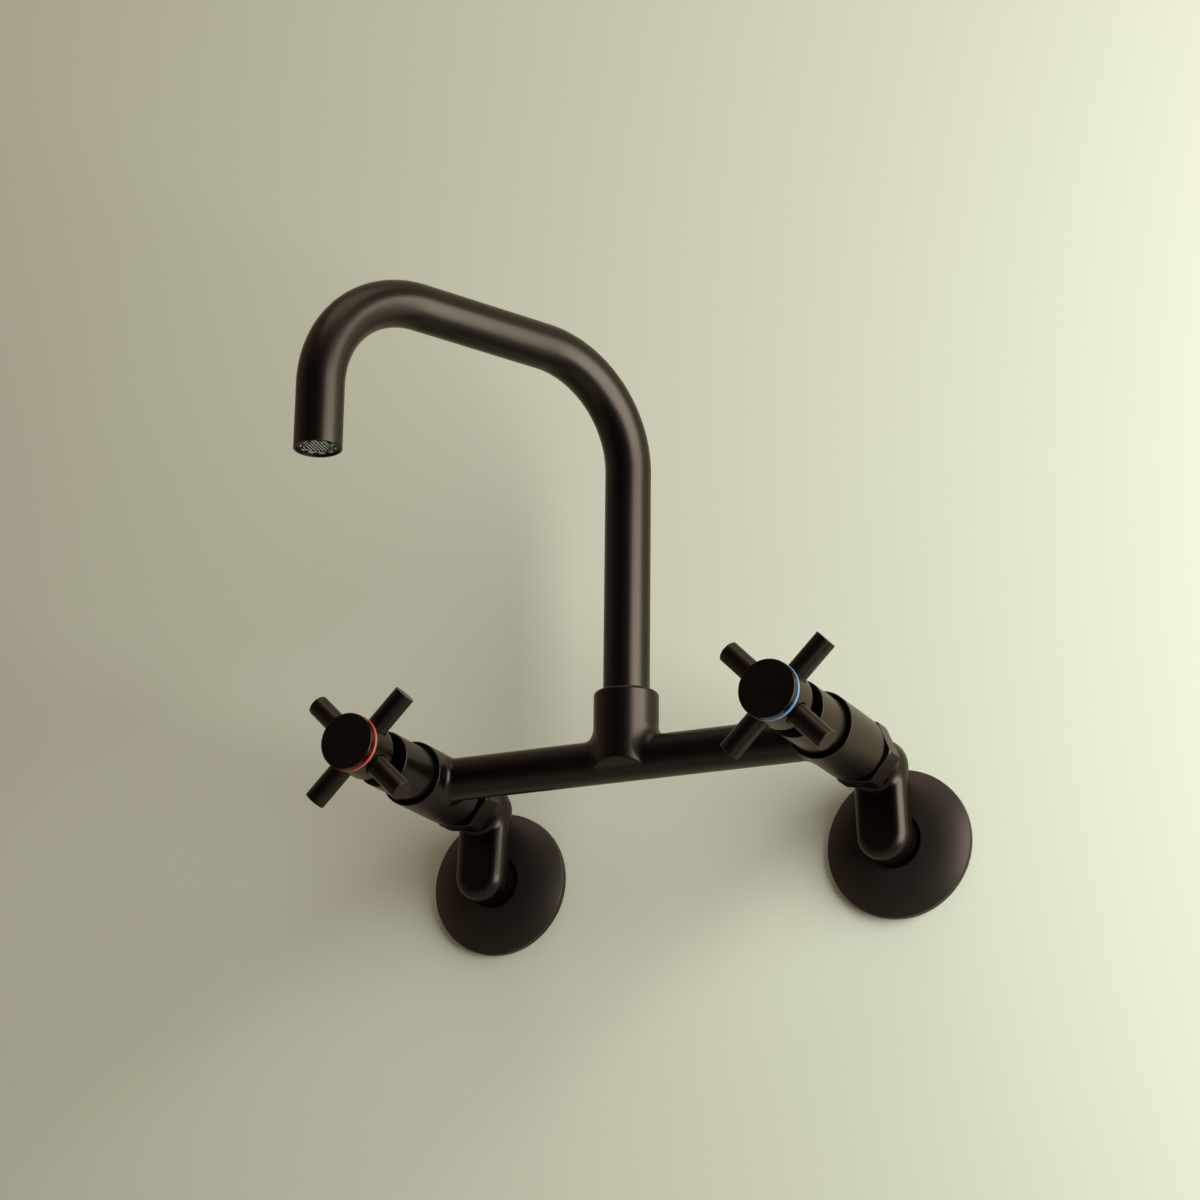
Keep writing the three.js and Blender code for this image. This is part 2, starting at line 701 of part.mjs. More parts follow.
/** Drive plate, shaft and splined end, drilled for the handle screw. */
function stem() {
  const splineStart = stemEnd - SPLINE_LENGTH;
  const shaft = turned([
    [0, plateStart],
    [CAGE_BORE - 2 * GAP, plateStart],
    [CAGE_BORE - 2 * GAP, plateEnd],
    [STEM_RADIUS, plateEnd],
    [STEM_RADIUS, splineStart + GAP],
    [0, splineStart + GAP],
  ], SMALL);
  const drilling = rod(SCREW_RADIUS + GAP, stemEnd - SCREW_LENGTH, stemEnd + 1);
  return shaft
    .add(prism(splineOutline(0), splineStart, stemEnd))
    .subtract(turned(drilling, TINY));
}

// ---------------------------------------------------------------- bonnet sleeve

/** A plain tube, open in front, whose inner web centres it on the gland. */
function bonnetSleeve() {
  const inner = SLEEVE_RADIUS - SLEEVE_WALL;
  const hole = GLAND_RADIUS + GAP;
  return turned([
    [inner, sleeveBack],
    [SLEEVE_RADIUS - SLEEVE_CHAMFER, sleeveBack],
    [SLEEVE_RADIUS, sleeveBack + SLEEVE_CHAMFER],
    [SLEEVE_RADIUS, sleeveFront - SLEEVE_CHAMFER],
    [SLEEVE_RADIUS - SLEEVE_CHAMFER, sleeveFront],
    [inner, sleeveFront],
    [inner, webFront],
    [hole, webFront],
    [hole, webFront - SLEEVE_WEB],
    [inner, webFront - SLEEVE_WEB],
    [inner, sleeveBack],
  ]);
}

// ---------------------------------------------------------------- handle

/** Turns something that points along x to each lever's angle. */
function atLever(solid, index) {
  const angle = LEVER_START + index * 360 / LEVER_COUNT;
  return solid.rotate([0, -angle, 0]);
}

/** A round bar along x from the handle's axis outwards. */
function spoke(radius, from, to, edge) {
  return upright(rod(radius, from, to, edge), TINY).rotate([0, 90, 0]).translate([0, -leverOut, 0]);
}

function handleHub() {
  let hub = turned([
    [0, hubBack + HUB_RECESS],
    [HUB_RECESS_RADIUS, hubBack + HUB_RECESS],
    [HUB_RECESS_RADIUS, hubBack],
    [HUB_RADIUS - CAP_EDGE, hubBack],
    [HUB_RADIUS, hubBack + CAP_EDGE],
    [HUB_RADIUS, hubFront],
    [neckRadius, hubFront],
    [neckRadius, hubNeck],
    [HUB_POCKET_RADIUS, hubNeck],
    [HUB_POCKET_RADIUS, pocketFloor],
    [0, pocketFloor],
  ]);
  hub = hub.subtract(prism(splineOutline(GAP), hubBack, hubNeck));
  for (let i = 0; i < LEVER_COUNT; i += 1) {
    hub = hub.subtract(atLever(spoke(LEVER_RADIUS + GAP, LEVER_SEAT, LEVER_REACH, 0), i));
  }
  return hub;
}

function lever(index) {
  return atLever(spoke(LEVER_RADIUS, LEVER_SEAT + GAP, LEVER_REACH, LEVER_EDGE), index);
}

function indexRing() {
  const inner = neckRadius + GAP;
  const outer = HUB_RADIUS + INDEX_RING_PROUD;
  return turned(ring(inner, outer, hubFront + GAP, hubFront + GAP + INDEX_RING_WIDTH));
}

/** A disc that closes the handle's front, with a plug in the hub's pocket. */
function handleCap() {
  const plug = HUB_POCKET_RADIUS - GAP;
  return turned([
    [0, screwSeat + SCREW_HEAD_HEIGHT + GAP],
    [plug, screwSeat + SCREW_HEAD_HEIGHT + GAP],
    [plug, capBack],
    [HUB_RADIUS, capBack],
    [HUB_RADIUS, capFront - CAP_EDGE],
    [HUB_RADIUS - CAP_EDGE, capFront],
    [0, capFront],
  ]);
}

/** Socket-head screw that draws the hub onto the stem. */
function handleScrew() {
  const head = screwSeat + SCREW_HEAD_HEIGHT;
  return turned([
    [0, stemEnd - SCREW_LENGTH + GAP],
    [SCREW_RADIUS, stemEnd - SCREW_LENGTH + GAP],
    [SCREW_RADIUS, screwSeat],
    [SCREW_HEAD_RADIUS, screwSeat],
    [SCREW_HEAD_RADIUS, head],
    [0, head],
  ], TINY).subtract(hexagon(SCREW_KEY, head - SCREW_HEAD_HEIGHT / 2, head + 1));
}

// ---------------------------------------------------------------- spout

function spoutTube() {
  return spoutBar(SPOUT_RADIUS, riserBottom, SPOUT_OUTLET, ROUND)
    .subtract(spoutBar(spoutBore, riserBottom - 1, SPOUT_OUTLET - 1, SMALL));
}

const oRingHeights = [0, 1].map((i) => ferruleBottom + O_RING_SECTION * 2 + i * O_RING_PITCH);

/** Turned brass end of the riser, with two seal grooves and one for the lock screw. */
function spoutFerrule() {
  const grooveRadius = spoutSealRadius - O_RING_SECTION - GAP / 2;
  const half = O_RING_SECTION + GAP / 2;
  const lockRadius = ferruleRadius - O_RING_SECTION;
  const seals = oRingHeights.flatMap((h) => [
    [ferruleRadius, h - half], [grooveRadius, h - half],
    [grooveRadius, h + half], [ferruleRadius, h + half],
  ]);
  return upright([
    [WATERWAY_RADIUS, ferruleBottom],
    [ferruleRadius, ferruleBottom],
    ...seals,
    [ferruleRadius, lockHeight - LOCK_GROOVE_WIDTH / 2],
    [lockRadius, lockHeight - LOCK_GROOVE_WIDTH / 2],
    [lockRadius, ferruleTop],
    [spoutBore - GAP, ferruleTop],
    [spoutBore - GAP, ferruleTop + SPIGOT_LENGTH],
    [WATERWAY_RADIUS, ferruleTop + SPIGOT_LENGTH],
    [WATERWAY_RADIUS, ferruleBottom],
  ], SMALL);
}

function spoutSeal(height) {
  return upright(roundSection(spoutSealRadius, height, O_RING_SECTION), SMALL);
}

function slipRing() {
  const from = socketFloor + GAP;
  return upright(ring(WATERWAY_RADIUS, socketBore - GAP, from, from + SLIP_RING_THICKNESS), SMALL);
}

/** Grub screw through the back of the socket, its tip in the ferrule's groove. */
function lockScrew() {
  const tip = ferruleRadius - O_RING_SECTION + GAP;
  const end = SOCKET_RADIUS - GAP;
  return upright(rod(LOCK_SCREW_RADIUS, tip, end), TINY).rotate([-90, 0, 0])
    .subtract(hexagon(LOCK_SCREW_KEY, -end - 1, -end + LOCK_SCREW_RADIUS))
    .translate([0, 0, lockHeight]);
}

// ---------------------------------------------------------------- outlet, above the outlet face

const bushRadius = spoutBore - GAP;
const insertRadius = bushRadius - BUSH_WALL - GAP;
const insertTop = OUTLET_RECESS + INSERT_LENGTH;
const washerTop = insertTop + GAP + OUTLET_WASHER;

/** Threaded bush fixed in the tube's end, with a lip above the washer. */
function outletBush() {
  const inner = bushRadius - BUSH_WALL;
  return upright([
    [inner, OUTLET_RECESS],
    [bushRadius, OUTLET_RECESS],
    [bushRadius, OUTLET_RECESS + BUSH_LENGTH],
    [INSERT_BORE, OUTLET_RECESS + BUSH_LENGTH],
    [INSERT_BORE, washerTop + GAP],
    [inner, washerTop + GAP],
    [inner, OUTLET_RECESS],
  ], SMALL);
}

/** Aerator body: a notched outer rim, a groove, and an inner rim with a ledge for the screen. */
function aeratorInsert() {
  const seat = OUTLET_RECESS + NOTCH_DEPTH;
  const screenHole = INSERT_BORE - INSERT_RIM;
  const waterHole = screenHole - INSERT_LEDGE;
  const groove = INSERT_BORE + INSERT_GROOVE;
  let insert = upright([
    [screenHole, OUTLET_RECESS],
    [INSERT_BORE, OUTLET_RECESS],
    [INSERT_BORE, seat],
    [groove, seat],
    [groove, OUTLET_RECESS],
    [insertRadius, OUTLET_RECESS],
    [insertRadius, insertTop],
    [INSERT_BORE, insertTop],
    [INSERT_BORE, seat + INSERT_LEDGE],
    [waterHole, seat + INSERT_LEDGE],
    [waterHole, seat],
    [screenHole, seat],
    [screenHole, OUTLET_RECESS],
  ], SMALL);
  const notch = box(
    [INSERT_BORE + GAP, -NOTCH_WIDTH / 2, OUTLET_RECESS - 1],
    [insertRadius + 1, NOTCH_WIDTH / 2, seat],
  );
  for (let i = 0; i < INSERT_NOTCHES; i += 1) {
    insert = insert.subtract(notch.rotate([0, 0, i * 360 / INSERT_NOTCHES]));
  }
  return insert;
}

/** The mesh that the water leaves through, as a plain disc. */
function aeratorScreen() {
  const to = OUTLET_RECESS + NOTCH_DEPTH - GAP;
  return upright(rod(INSERT_BORE - INSERT_RIM - GAP, to - SCREEN_THICKNESS, to), SMALL);
}

function outletWasher() {
  return upright(ring(INSERT_BORE, insertRadius, insertTop + GAP, washerTop), SMALL);
}

// ---------------------------------------------------------------- the faucet

const faucet = new THREE.Group();

/** One supply: flange and swing arm, union, valve cartridge and handle. */
function addSide(side, prefix, ringFinish) {
  const valve = new THREE.Group();
  valve.position.set(side * VALVE_CENTRES / 2, 0, valveHeight);
  faucet.add(valve);

  const arm = new THREE.Group();
  arm.rotation.y = -side * radians(ARM_LEAN);
  valve.add(arm);
  const inlet = new THREE.Group();
  inlet.position.z = -ARM_DROP;
  arm.add(inlet);

  place(inlet, `${prefix}_wall_flange`, wallFlange(), 'bronze');
  place(inlet, `${prefix}_flange_seal`, flangeSeal(), 'rubber');
  place(arm, `${prefix}_swing_arm`, swingArm(), 'bronze');
  place(arm, `${prefix}_snap_ring`, snapRing(), 'steel');
  place(valve, `${prefix}_union_nut`, unionNut(), 'bronze');
  place(valve, `${prefix}_union_washer`, unionWasher(), 'rubber');

  place(valve, `${prefix}_seat_seal`, seatSeal(), 'rubber');
  place(valve, `${prefix}_fixed_disc`, ceramicDisc(fixedDisc, 0), 'ceramic');
  place(valve, `${prefix}_turning_disc`, ceramicDisc(turningDisc, 90), 'ceramic');
  place(valve, `${prefix}_cartridge_body`, cartridgeBody(), 'brass');
  place(valve, `${prefix}_stem`, stem(), 'brass');
  place(valve, `${prefix}_bonnet_sleeve`, bonnetSleeve(), 'bronze');

  place(valve, `${prefix}_handle_hub`, handleHub(), 'bronze');
  for (let i = 0; i < LEVER_COUNT; i += 1) {
    place(valve, `${prefix}_lever_${i + 1}`, lever(i), 'bronze');
  }
  place(valve, `${prefix}_index_ring`, indexRing(), ringFinish);
  place(valve, `${prefix}_handle_screw`, handleScrew(), 'steel');
  place(valve, `${prefix}_handle_cap`, handleCap(), 'bronze');
}

/** The bridge casting and what stays still in its socket. */
function addBridge() {
  const bridge = new THREE.Group();
  bridge.position.z = valveHeight;
  faucet.add(bridge);
  place(bridge, 'bridge_body', bridgeBody(), 'bronze');

  const socket = new THREE.Group();
  socket.position.y = -bridgeOut;
  bridge.add(socket);
  place(socket, 'spout_slip_ring', slipRing(), 'plastic');
  place(socket, 'spout_lock_screw', lockScrew(), 'steel');
}

/** The swivelling spout with its ferrule, seals and outlet. */
function addSpout() {
  const spout = new THREE.Group();
  spout.position.set(0, -bridgeOut, valveHeight);
  spout.rotation.z = radians(SPOUT_TURN);
  faucet.add(spout);
  place(spout, 'spout_tube', spoutTube(), 'bronze');
  place(spout, 'spout_ferrule', spoutFerrule(), 'brass');
  place(spout, 'spout_seal_lower', spoutSeal(oRingHeights[0]), 'rubber');
  place(spout, 'spout_seal_upper', spoutSeal(oRingHeights[1]), 'rubber');

  const outlet = new THREE.Group();
  outlet.position.set(0, -SPOUT_REACH, SPOUT_OUTLET);
  spout.add(outlet);
  place(outlet, 'outlet_bush', outletBush(), 'brass');
  place(outlet, 'aerator_insert', aeratorInsert(), 'plastic');
  place(outlet, 'aerator_screen', aeratorScreen(), 'plastic');
  place(outlet, 'outlet_washer', outletWasher(), 'rubber');
}

addBridge();
addSide(-1, 'hot', 'red');
addSide(1, 'cold', 'blue');
addSpout();

export default faucet;
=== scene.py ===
"""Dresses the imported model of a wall-mounted bridge faucet with two cross handles.

Metres. x runs along the wall, y into the wall and z up. Places along a valve are given as
distances out from the wall, so y is minus that distance. The hot side is at negative x.
"""

import math

import bpy
import numpy as np
from mathutils import Matrix, Vector

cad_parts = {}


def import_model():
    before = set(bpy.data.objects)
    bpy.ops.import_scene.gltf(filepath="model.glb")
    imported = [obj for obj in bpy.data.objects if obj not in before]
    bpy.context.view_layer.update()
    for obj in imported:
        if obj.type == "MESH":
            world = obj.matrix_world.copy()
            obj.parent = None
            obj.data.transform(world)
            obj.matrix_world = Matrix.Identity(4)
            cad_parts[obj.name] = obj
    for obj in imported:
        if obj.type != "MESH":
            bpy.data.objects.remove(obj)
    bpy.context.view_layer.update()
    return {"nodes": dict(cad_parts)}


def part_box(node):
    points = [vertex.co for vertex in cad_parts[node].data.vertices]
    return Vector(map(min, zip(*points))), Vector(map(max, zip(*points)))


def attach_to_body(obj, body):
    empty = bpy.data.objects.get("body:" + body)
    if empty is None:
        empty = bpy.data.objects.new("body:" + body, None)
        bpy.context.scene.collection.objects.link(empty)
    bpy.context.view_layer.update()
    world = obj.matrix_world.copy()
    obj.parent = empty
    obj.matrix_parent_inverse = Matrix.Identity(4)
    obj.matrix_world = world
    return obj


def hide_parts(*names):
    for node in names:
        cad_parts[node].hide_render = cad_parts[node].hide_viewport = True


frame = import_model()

# ---------------------------------------------------------------- sizes

SIDES = (("hot", -1, "red"), ("cold", 1, "blue"))

ROUND = 96  # sides of a turned piece
ARC_STEP = math.radians(15)  # of the rounding between two lines of a profile
SHARP = 0.00012  # rounding of an edge that is left sharp

# Bridge body
BODY_LENGTH = 0.0395
BODY_CHAMFER = 0.0006
NECK_RADIUS = 0.012
MOUTH_RADIUS = 0.0146
MOUTH_DEPTH = 0.004
MOUTH_CHAMFER = 0.0002
CHAMBER_RADIUS = 0.0106
CHAMBER_DEPTH = 0.0225
WATERWAY_RADIUS = 0.007
BRIDGE_RADIUS = 0.010
BRIDGE_FILLET = 0.0025  # between the tube and a valve body
SOCKET_RADIUS = 0.015
SOCKET_SHOULDER = 0.0036
SOCKET_DROP = 0.0022  # from the bridge axis down to the front edge of its underside
SOCKET_SLOPE = 0.5  # fall of that underside, in to the tube
SOCKET_EDGE = 0.0006
SOCKET_FILLET = 0.0065
SOCKET_BORE = 0.01135
SOCKET_DEPTH = 0.0235
LOCK_HOLE_RADIUS = 0.00215

# Swing arm
ARM_DROP = 0.032
ARM_LEAN = math.radians(2.5)
LINK_RADIUS = 0.0125
LINK_BACK = 0.013
LINK_FRONT = 0.028
LINK_EDGE = 0.006
SHANK_RADIUS = 0.0118
SHANK_END = 0.038
SHANK_FILLET = 0.0026
NOSE_RADIUS = 0.0106
NOSE_END = 0.0429
STUB_RADIUS = 0.0119
STUB_OUT = 0.001
STUB_FILLET = 0.0008
PIPE_RADIUS = 0.0094
PIPE_DEPTH = 0.016

# Union nut
NUT_FLATS = 0.028
NUT_CHAMFER = 0.001  # how far it comes down each corner
NUT_FACE_RADIUS = 0.0152  # where the chamfer starts, on its ends
NUT_TURN = math.radians(7)
NUT_LIP = 0.0024
NUT_EDGE = 0.0003
THREAD_GAP = 0.0003

# Bonnet sleeve and handle
SLEEVE_WALL = 0.0013
SLEEVE_WEB = 0.0015
SLEEVE_RECESS = 0.007
SLEEVE_EDGE = 0.0005
GLAND_HOLE = 0.0083
HUB_EDGE = 0.0005
HUB_RECESS = 0.003
HUB_RECESS_RADIUS = 0.0085
HUB_NECK_RADIUS = 0.011
LEVER_GAP = 0.0003
LEVER_SEAT = 0.0102
LEVER_EDGE = 0.00025
LEVER_START = math.radians(45)
LEVER_COUNT = 4
RING_EDGE = 0.0003
RING_INSET = 0.00015  # each side, for the dark lines beside the ring
CAP_EDGE = 0.0005
CAP_PLUG_RADIUS = 0.0077

# Wall flange
FLANGE_RIM = 0.0034
FLANGE_EDGE = 0.0007
FLANGE_FOOT = 0.0024
FLANGE_WALL = 0.0016
FLANGE_HOLE = 0.0128
FLANGE_HOLE_EDGE = 0.0014
FLANGE_HOLLOW_EDGE = 0.01  # rounding in the middle of its hollow back
FLANGE_CURVE = 2.4  # power of its dome
FLANGE_STEPS = 12

# Spout
SPOUT_RADIUS = 0.01075
SPOUT_BORE = 0.00955
SPOUT_REACH = 0.172
SPOUT_RISE = 0.190  # from the bridge axis to the level arm
SPOUT_OUTLET = 0.109  # from the bridge axis to the outlet face
SPOUT_BEND = 0.051
SPOUT_TURN = math.radians(-26.5)
SPOUT_LIP = 0.0003
FERRULE_HOLD = 0.008  # how far the tube reaches into its ferrule, at least
BEND_STEPS = 40

# Outlet, upwards from its face
OUTLET_RECESS = 0.0006
NOTCH_WIDTH = 0.0024
NOTCH_DEPTH = 0.0014
NOTCH_COUNT = 10
NOTCH_TURN = math.radians(8)
INSERT_BORE = 0.0064
INSERT_GROOVE = 0.0006
INSERT_RIM = 0.0004
INSERT_LEDGE = 0.001
WIRE_PITCH = 0.0015
WIRE_TURN = math.radians(123)
WIRE_SIDES = 6
FRONT_WIRE = 0.0002  # radius
BACK_WIRE = 0.0001
WIRE_BEND = 0.00004  # how far a wire dips between those it crosses

# ---------------------------------------------------------------- places, from the frame


def along_valve(node):
    """How far out from the wall a node starts and ends."""
    low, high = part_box(node)
    return -high.y, -low.y


def centre(node):
    low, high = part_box(node)
    return (low + high) / 2


def radius_of(node):
    low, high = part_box(node)
    return (high.x - low.x) / 2


valve_x = centre("cold_handle_cap").x
valve_z = centre("cold_handle_cap").z
riser_out = -centre("spout_slip_ring").y
bridge_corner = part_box("bridge_body")[1]
body_radius = bridge_corner.x - valve_x
neck_end, body_front = along_valve("bridge_body")
body_back = body_front - BODY_LENGTH
socket_top = bridge_corner.z - valve_z
lock_height = centre("spout_lock_screw").z - valve_z

# ---------------------------------------------------------------- surfaces


class Surface:
    """Points with their own normals, and faces, gathered for one piece."""

    def __init__(self):
        self.points = np.zeros((0, 3))
        self.normals = np.zeros((0, 3))
        self.faces = []
        self.first_ring, self.last_ring, self.border = [], [], []

    def add(self, points, normals, faces=()):
        """Adds points and faces that count from the first of them. Returns the number of that point."""
        first = len(self.points)
        self.points = np.vstack([self.points, points])
        self.normals = np.vstack([self.normals, normals])
        self.faces += [[first + i for i in face] for face in faces]
        return first

    def merge(self, other):
        return self.add(other.points, other.normals, other.faces)

    def moved(self, matrix):
        """The same surface in another place."""
        turn = np.array(matrix.to_3x3())
        result = Surface()
        result.add(self.points @ turn.T + np.array(matrix.translation), self.normals @ turn.T, self.faces)
        result.first_ring, result.last_ring = self.first_ring, self.last_ring
        return result


def rings(points, normals, closed=False):
    """A surface through rings of points, [ring, place round it, xyz].

    A ring of no size becomes one point.
    """
    count, around = points.shape[:2]
    surface = Surface()
    numbers = []
    for ring, normal in zip(points, normals):
        if np.ptp(ring, axis=0).max() < 1e-9:
            mean = normal.mean(0)
            numbers.append([surface.add(ring[:1], [mean / np.linalg.norm(mean)])] * around)
        else:
            first = surface.add(ring, normal)
            numbers.append(list(range(first, first + around)))
    for j in range(count if closed else count - 1):
        low, high = numbers[j], numbers[(j + 1) % count]
        for i in range(around):
            k = (i + 1) % around
            corners = [low[i], low[k], high[k], high[i]]
            face = [c for n, c in enumerate(corners) if c != corners[n - 1]]
            if len(face) > 2:
                surface.faces.append(face)
    surface.first_ring, surface.last_ring = numbers[0], numbers[-1]
    return surface


def rounded(corners, closed=False):
    """A profile of (radius, height, rounding) corners as points and outward normals.

    The outside is on the right of the way that the corners go.
    """
    spots = [np.array(c[:2], float) for c in corners]
    roundings = [c[2] if len(c) > 2 else SHARP for c in corners]
    count = len(spots)
    points, normals = [], []
    for i, spot in enumerate(spots):
        if not closed and i in (0, count - 1):
            step = spots[1] - spots[0] if i == 0 else spots[-1] - spots[-2]
            points.append(spot)
            normals.append(np.array([step[1], -step[0]]) / np.linalg.norm(step))
            continue
        before, after = spot - spots[i - 1], spots[(i + 1) % count] - spot
        lengths = np.linalg.norm(before), np.linalg.norm(after)
        before, after = before / lengths[0], after / lengths[1]
        turn = math.atan2(before[0] * after[1] - before[1] * after[0], float(before @ after))
        if abs(turn) < 1e-6:
            points.append(spot)
            normals.append(np.array([before[1], -before[0]]))
            continue
        reach = min(roundings[i] * math.tan(abs(turn) / 2), 0.49 * min(lengths))
        radius = reach / math.tan(abs(turn) / 2)
        side = math.copysign(1, turn)
        middle = spot - before * reach + side * radius * np.array([-before[1], before[0]])
        steps = max(1, math.ceil(abs(turn) / ARC_STEP))
        for step in range(steps + 1):
            angle = math.atan2(before[1], before[0]) + turn * step / steps
            normal = np.array([math.sin(angle), -math.cos(angle)])
            points.append(middle + side * radius * normal)
            normals.append(normal)
    return np.array(points), np.array(normals)


def lathe(corners, closed=False):
    """A rounded profile turned about the z axis."""
    profile, tilt = rounded(corners, closed)
    angle = np.arange(ROUND) * 2 * math.pi / ROUND
    circle = np.stack([np.cos(angle), np.sin(angle)], 1)

    def turned(values):
        flat = values[:, None, :1] * circle
        return np.concatenate([flat, np.repeat(values[:, None, 1:], ROUND, 1)], 2)

    return rings(turned(profile), turned(tilt), closed)


def ring_profile(inner, outer, start, end, edge):
    return [(inner, start, edge), (outer, start, edge), (outer, end, edge), (inner, end, edge)]


def aimed(origin, direction, across):
    """The place of a turned surface: its z axis along direction, its x axis across."""
    z = Vector(direction).normalized()
    x = Vector(across).normalized()
    columns = Matrix((x, z.cross(x), z)).transposed().to_4x4()
    return Matrix.Translation(origin) @ columns


def valve_place(side):
    """A turned surface here has its heights out from the wall, on one valve's axis."""
    return aimed((side * valve_x, 0, valve_z), (0, -1, 0), (1, 0, 0))


def valve_origin(side):
    return Matrix.Translation((side * valve_x, 0, valve_z))


def arm_origin(side):
    """The valve's axis, with z along the swing arm."""
    return valve_origin(side) @ Matrix.Rotation(-side * ARM_LEAN, 4, "Y")


# ---------------------------------------------------------------- cast forms, from distances


def round_union(a, b, radius):
    """The distance to two forms joined with a fillet."""
    return np.maximum(radius, np.minimum(a, b)) - np.hypot(
        np.maximum(radius - a, 0), np.maximum(radius - b, 0))


def round_overlap(a, b, radius):
    """The distance to what two forms share, its edge rounded."""
    return -round_union(-a, -b, radius)


def steps_between(low, high, cell):
    return np.linspace(low, high, round((high - low) / cell) + 1)


def slope(distance, points, step=1e-6):
    """The gradient of a distance at each point."""
    columns = []
    for axis in range(3):
        shift = np.zeros(3)
        shift[axis] = step
        columns.append(distance(*(points + shift).T) - distance(*(points - shift).T))
    return np.stack(columns, 1) / (2 * step)


def settled(distance, points):
    """Points moved onto the surface."""
    for _ in range(4):
        gradient = slope(distance, points)
        size = np.maximum((gradient ** 2).sum(1), 0.1)
        points = points - (distance(*points.T) / size)[:, None] * gradient
    return points


def evened(distance, points, quads, fixed):
    """Points spread more evenly over the surface."""
    corners = np.array(quads)
    for _ in range(3):
        total, count = np.zeros_like(points), np.zeros(len(points))
        for i in range(4):
            for j in (i - 1, (i + 1) % 4):
                np.add.at(total, corners[:, i], points[corners[:, j]])
                np.add.at(count, corners[:, i], 1)
        mean = total / np.maximum(count, 1)[:, None]
        points = settled(distance, np.where(fixed[:, None], points, (points + mean) / 2))
    return points


def net(distance, xs, ys, zs, keep=None):
    """The surface where the distance is 0, as one quad for each crossed edge of a grid.

    It is open where it leaves the grid or the cells that are kept.
    """
    value = distance(*np.meshgrid(xs, ys, zs, indexing="ij"))
    inside = value < 0
    cells = tuple(n - 1 for n in value.shape)
    offsets = [(i, j, k) for i in (0, 1) for j in (0, 1) for k in (0, 1)]
    count = sum(inside[i:i + cells[0], j:j + cells[1], k:k + cells[2]].astype(int) for i, j, k in offsets)
    active = (count > 0) & (count < 8)
    if keep is not None:
        middles = [(s[1:] + s[:-1]) / 2 for s in (xs, ys, zs)]
        active &= keep(*np.meshgrid(*middles, indexing="ij"))
    place = np.stack(np.nonzero(active), 1)
    grid = (xs, ys, zs)
    total, crossings = np.zeros((len(place), 3)), np.zeros(len(place))
    for start in offsets:
        for axis in range(3):
            if start[axis]:
                continue
            low = place + start
            high = low.copy()
            high[:, axis] += 1
            a, b = value[tuple(low.T)], value[tuple(high.T)]
            crossed = (a < 0) != (b < 0)
            share = np.where(crossed, a / np.where(crossed, a - b, 1), 0)
            spot = np.stack([s[low[:, n]] for n, s in enumerate(grid)], 1)
            spot[:, axis] += share * (grid[axis][high[:, axis]] - grid[axis][low[:, axis]])
            total += spot * crossed[:, None]
            crossings += crossed
    points = total / crossings[:, None]
    number = np.full(cells, -1)
    number[tuple(place.T)] = np.arange(len(place))
    quads = []
    for axis in range(3):
        u, v = (axis + 1) % 3, (axis + 2) % 3
        turned = np.moveaxis(inside, (axis, u, v), (0, 1, 2))
        around = np.moveaxis(number, (axis, u, v), (0, 1, 2))
        low, high = turned[:-1, 1:-1, 1:-1], turned[1:, 1:-1, 1:-1]
        four = np.stack([around[:, :-1, :-1], around[:, 1:, :-1], around[:, 1:, 1:], around[:, :-1, 1:]], -1)
        crossed = (low != high) & (four >= 0).all(-1)
        found = four[crossed]
        outwards = low[crossed]
        quads.append(np.where(outwards[:, None], found, found[:, ::-1]))
    quads = np.concatenate(quads)
    edges = np.concatenate([quads[:, [i, (i + 1) % 4]] for i in range(4)])
    paired = set(map(tuple, edges[:, ::-1].tolist()))
    border = [edge for edge in map(tuple, edges.tolist()) if edge not in paired]
    fixed = np.zeros(len(points), bool)
    fixed[[a for a, _ in border]] = True
    points = evened(distance, settled(distance, points), quads, fixed)
    normals = slope(distance, points)
    surface = Surface()
    surface.add(points, normals / np.linalg.norm(normals, axis=1)[:, None], quads.tolist())
    surface.border = border
    return surface


def zip_ring(surface, border, ring, origin, u, v):
    """Closes the gap between a border of the surface and a ring of its points, both round an origin."""
    def angles(numbers):
        offset = surface.points[numbers] - np.array(origin)
        return np.arctan2(offset @ np.array(v, float), offset @ np.array(u, float)) % (2 * math.pi)

    loop = np.array([a for a, _ in border])
    step = angles(np.array([b for _, b in border])) - angles(loop)
    forwards = np.median(np.mod(step + math.pi, 2 * math.pi) - math.pi) > 0
    a, b = loop[np.argsort(angles(loop))], np.array(ring)[np.argsort(angles(np.array(ring)))]
    a_angle, b_angle = (np.append(x, x[0] + 2 * math.pi) for x in (angles(a), angles(b)))
    a, b = np.append(a, a[0]), np.append(b, b[0])
    i = j = 0
    while i < len(a) - 1 or j < len(b) - 1:
        if j == len(b) - 1 or (i < len(a) - 1 and a_angle[i + 1] <= b_angle[j + 1]):
            face = [a[i], a[i + 1], b[j]]
            i += 1
        else:
            face = [a[i], b[j + 1], b[j]]
            j += 1
        surface.faces.append([int(n) for n in (face[::-1] if forwards else face)])


def attach(surface, part, border, at_start, origin, u, v):
    """Adds a turned part and zips one of its end rings to a border of the surface."""
    first = surface.merge(part)
    ring = part.first_ring if at_start else part.last_ring
    zip_ring(surface, border, [first + n for n in ring], origin, u, v)


# ---------------------------------------------------------------- making pieces


def piece(name, surface, body, slot, *nodes, finish=None):
    """A mesh object with its own normals, which stands for CAD nodes and rides on their body."""
    mesh = bpy.data.meshes.new(name)
    mesh.from_pydata(surface.points.tolist(), [], surface.faces)
    mesh.polygons.foreach_set("use_smooth", [True] * len(mesh.polygons))
    mesh.normals_split_custom_set_from_vertices(surface.normals.tolist())
    mesh.materials.append(material(finish or slot))
    made = bpy.data.objects.new(name, mesh)
    bpy.context.scene.collection.objects.link(made)
    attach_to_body(made, body)
    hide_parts(*nodes)


# ---------------------------------------------------------------- materials

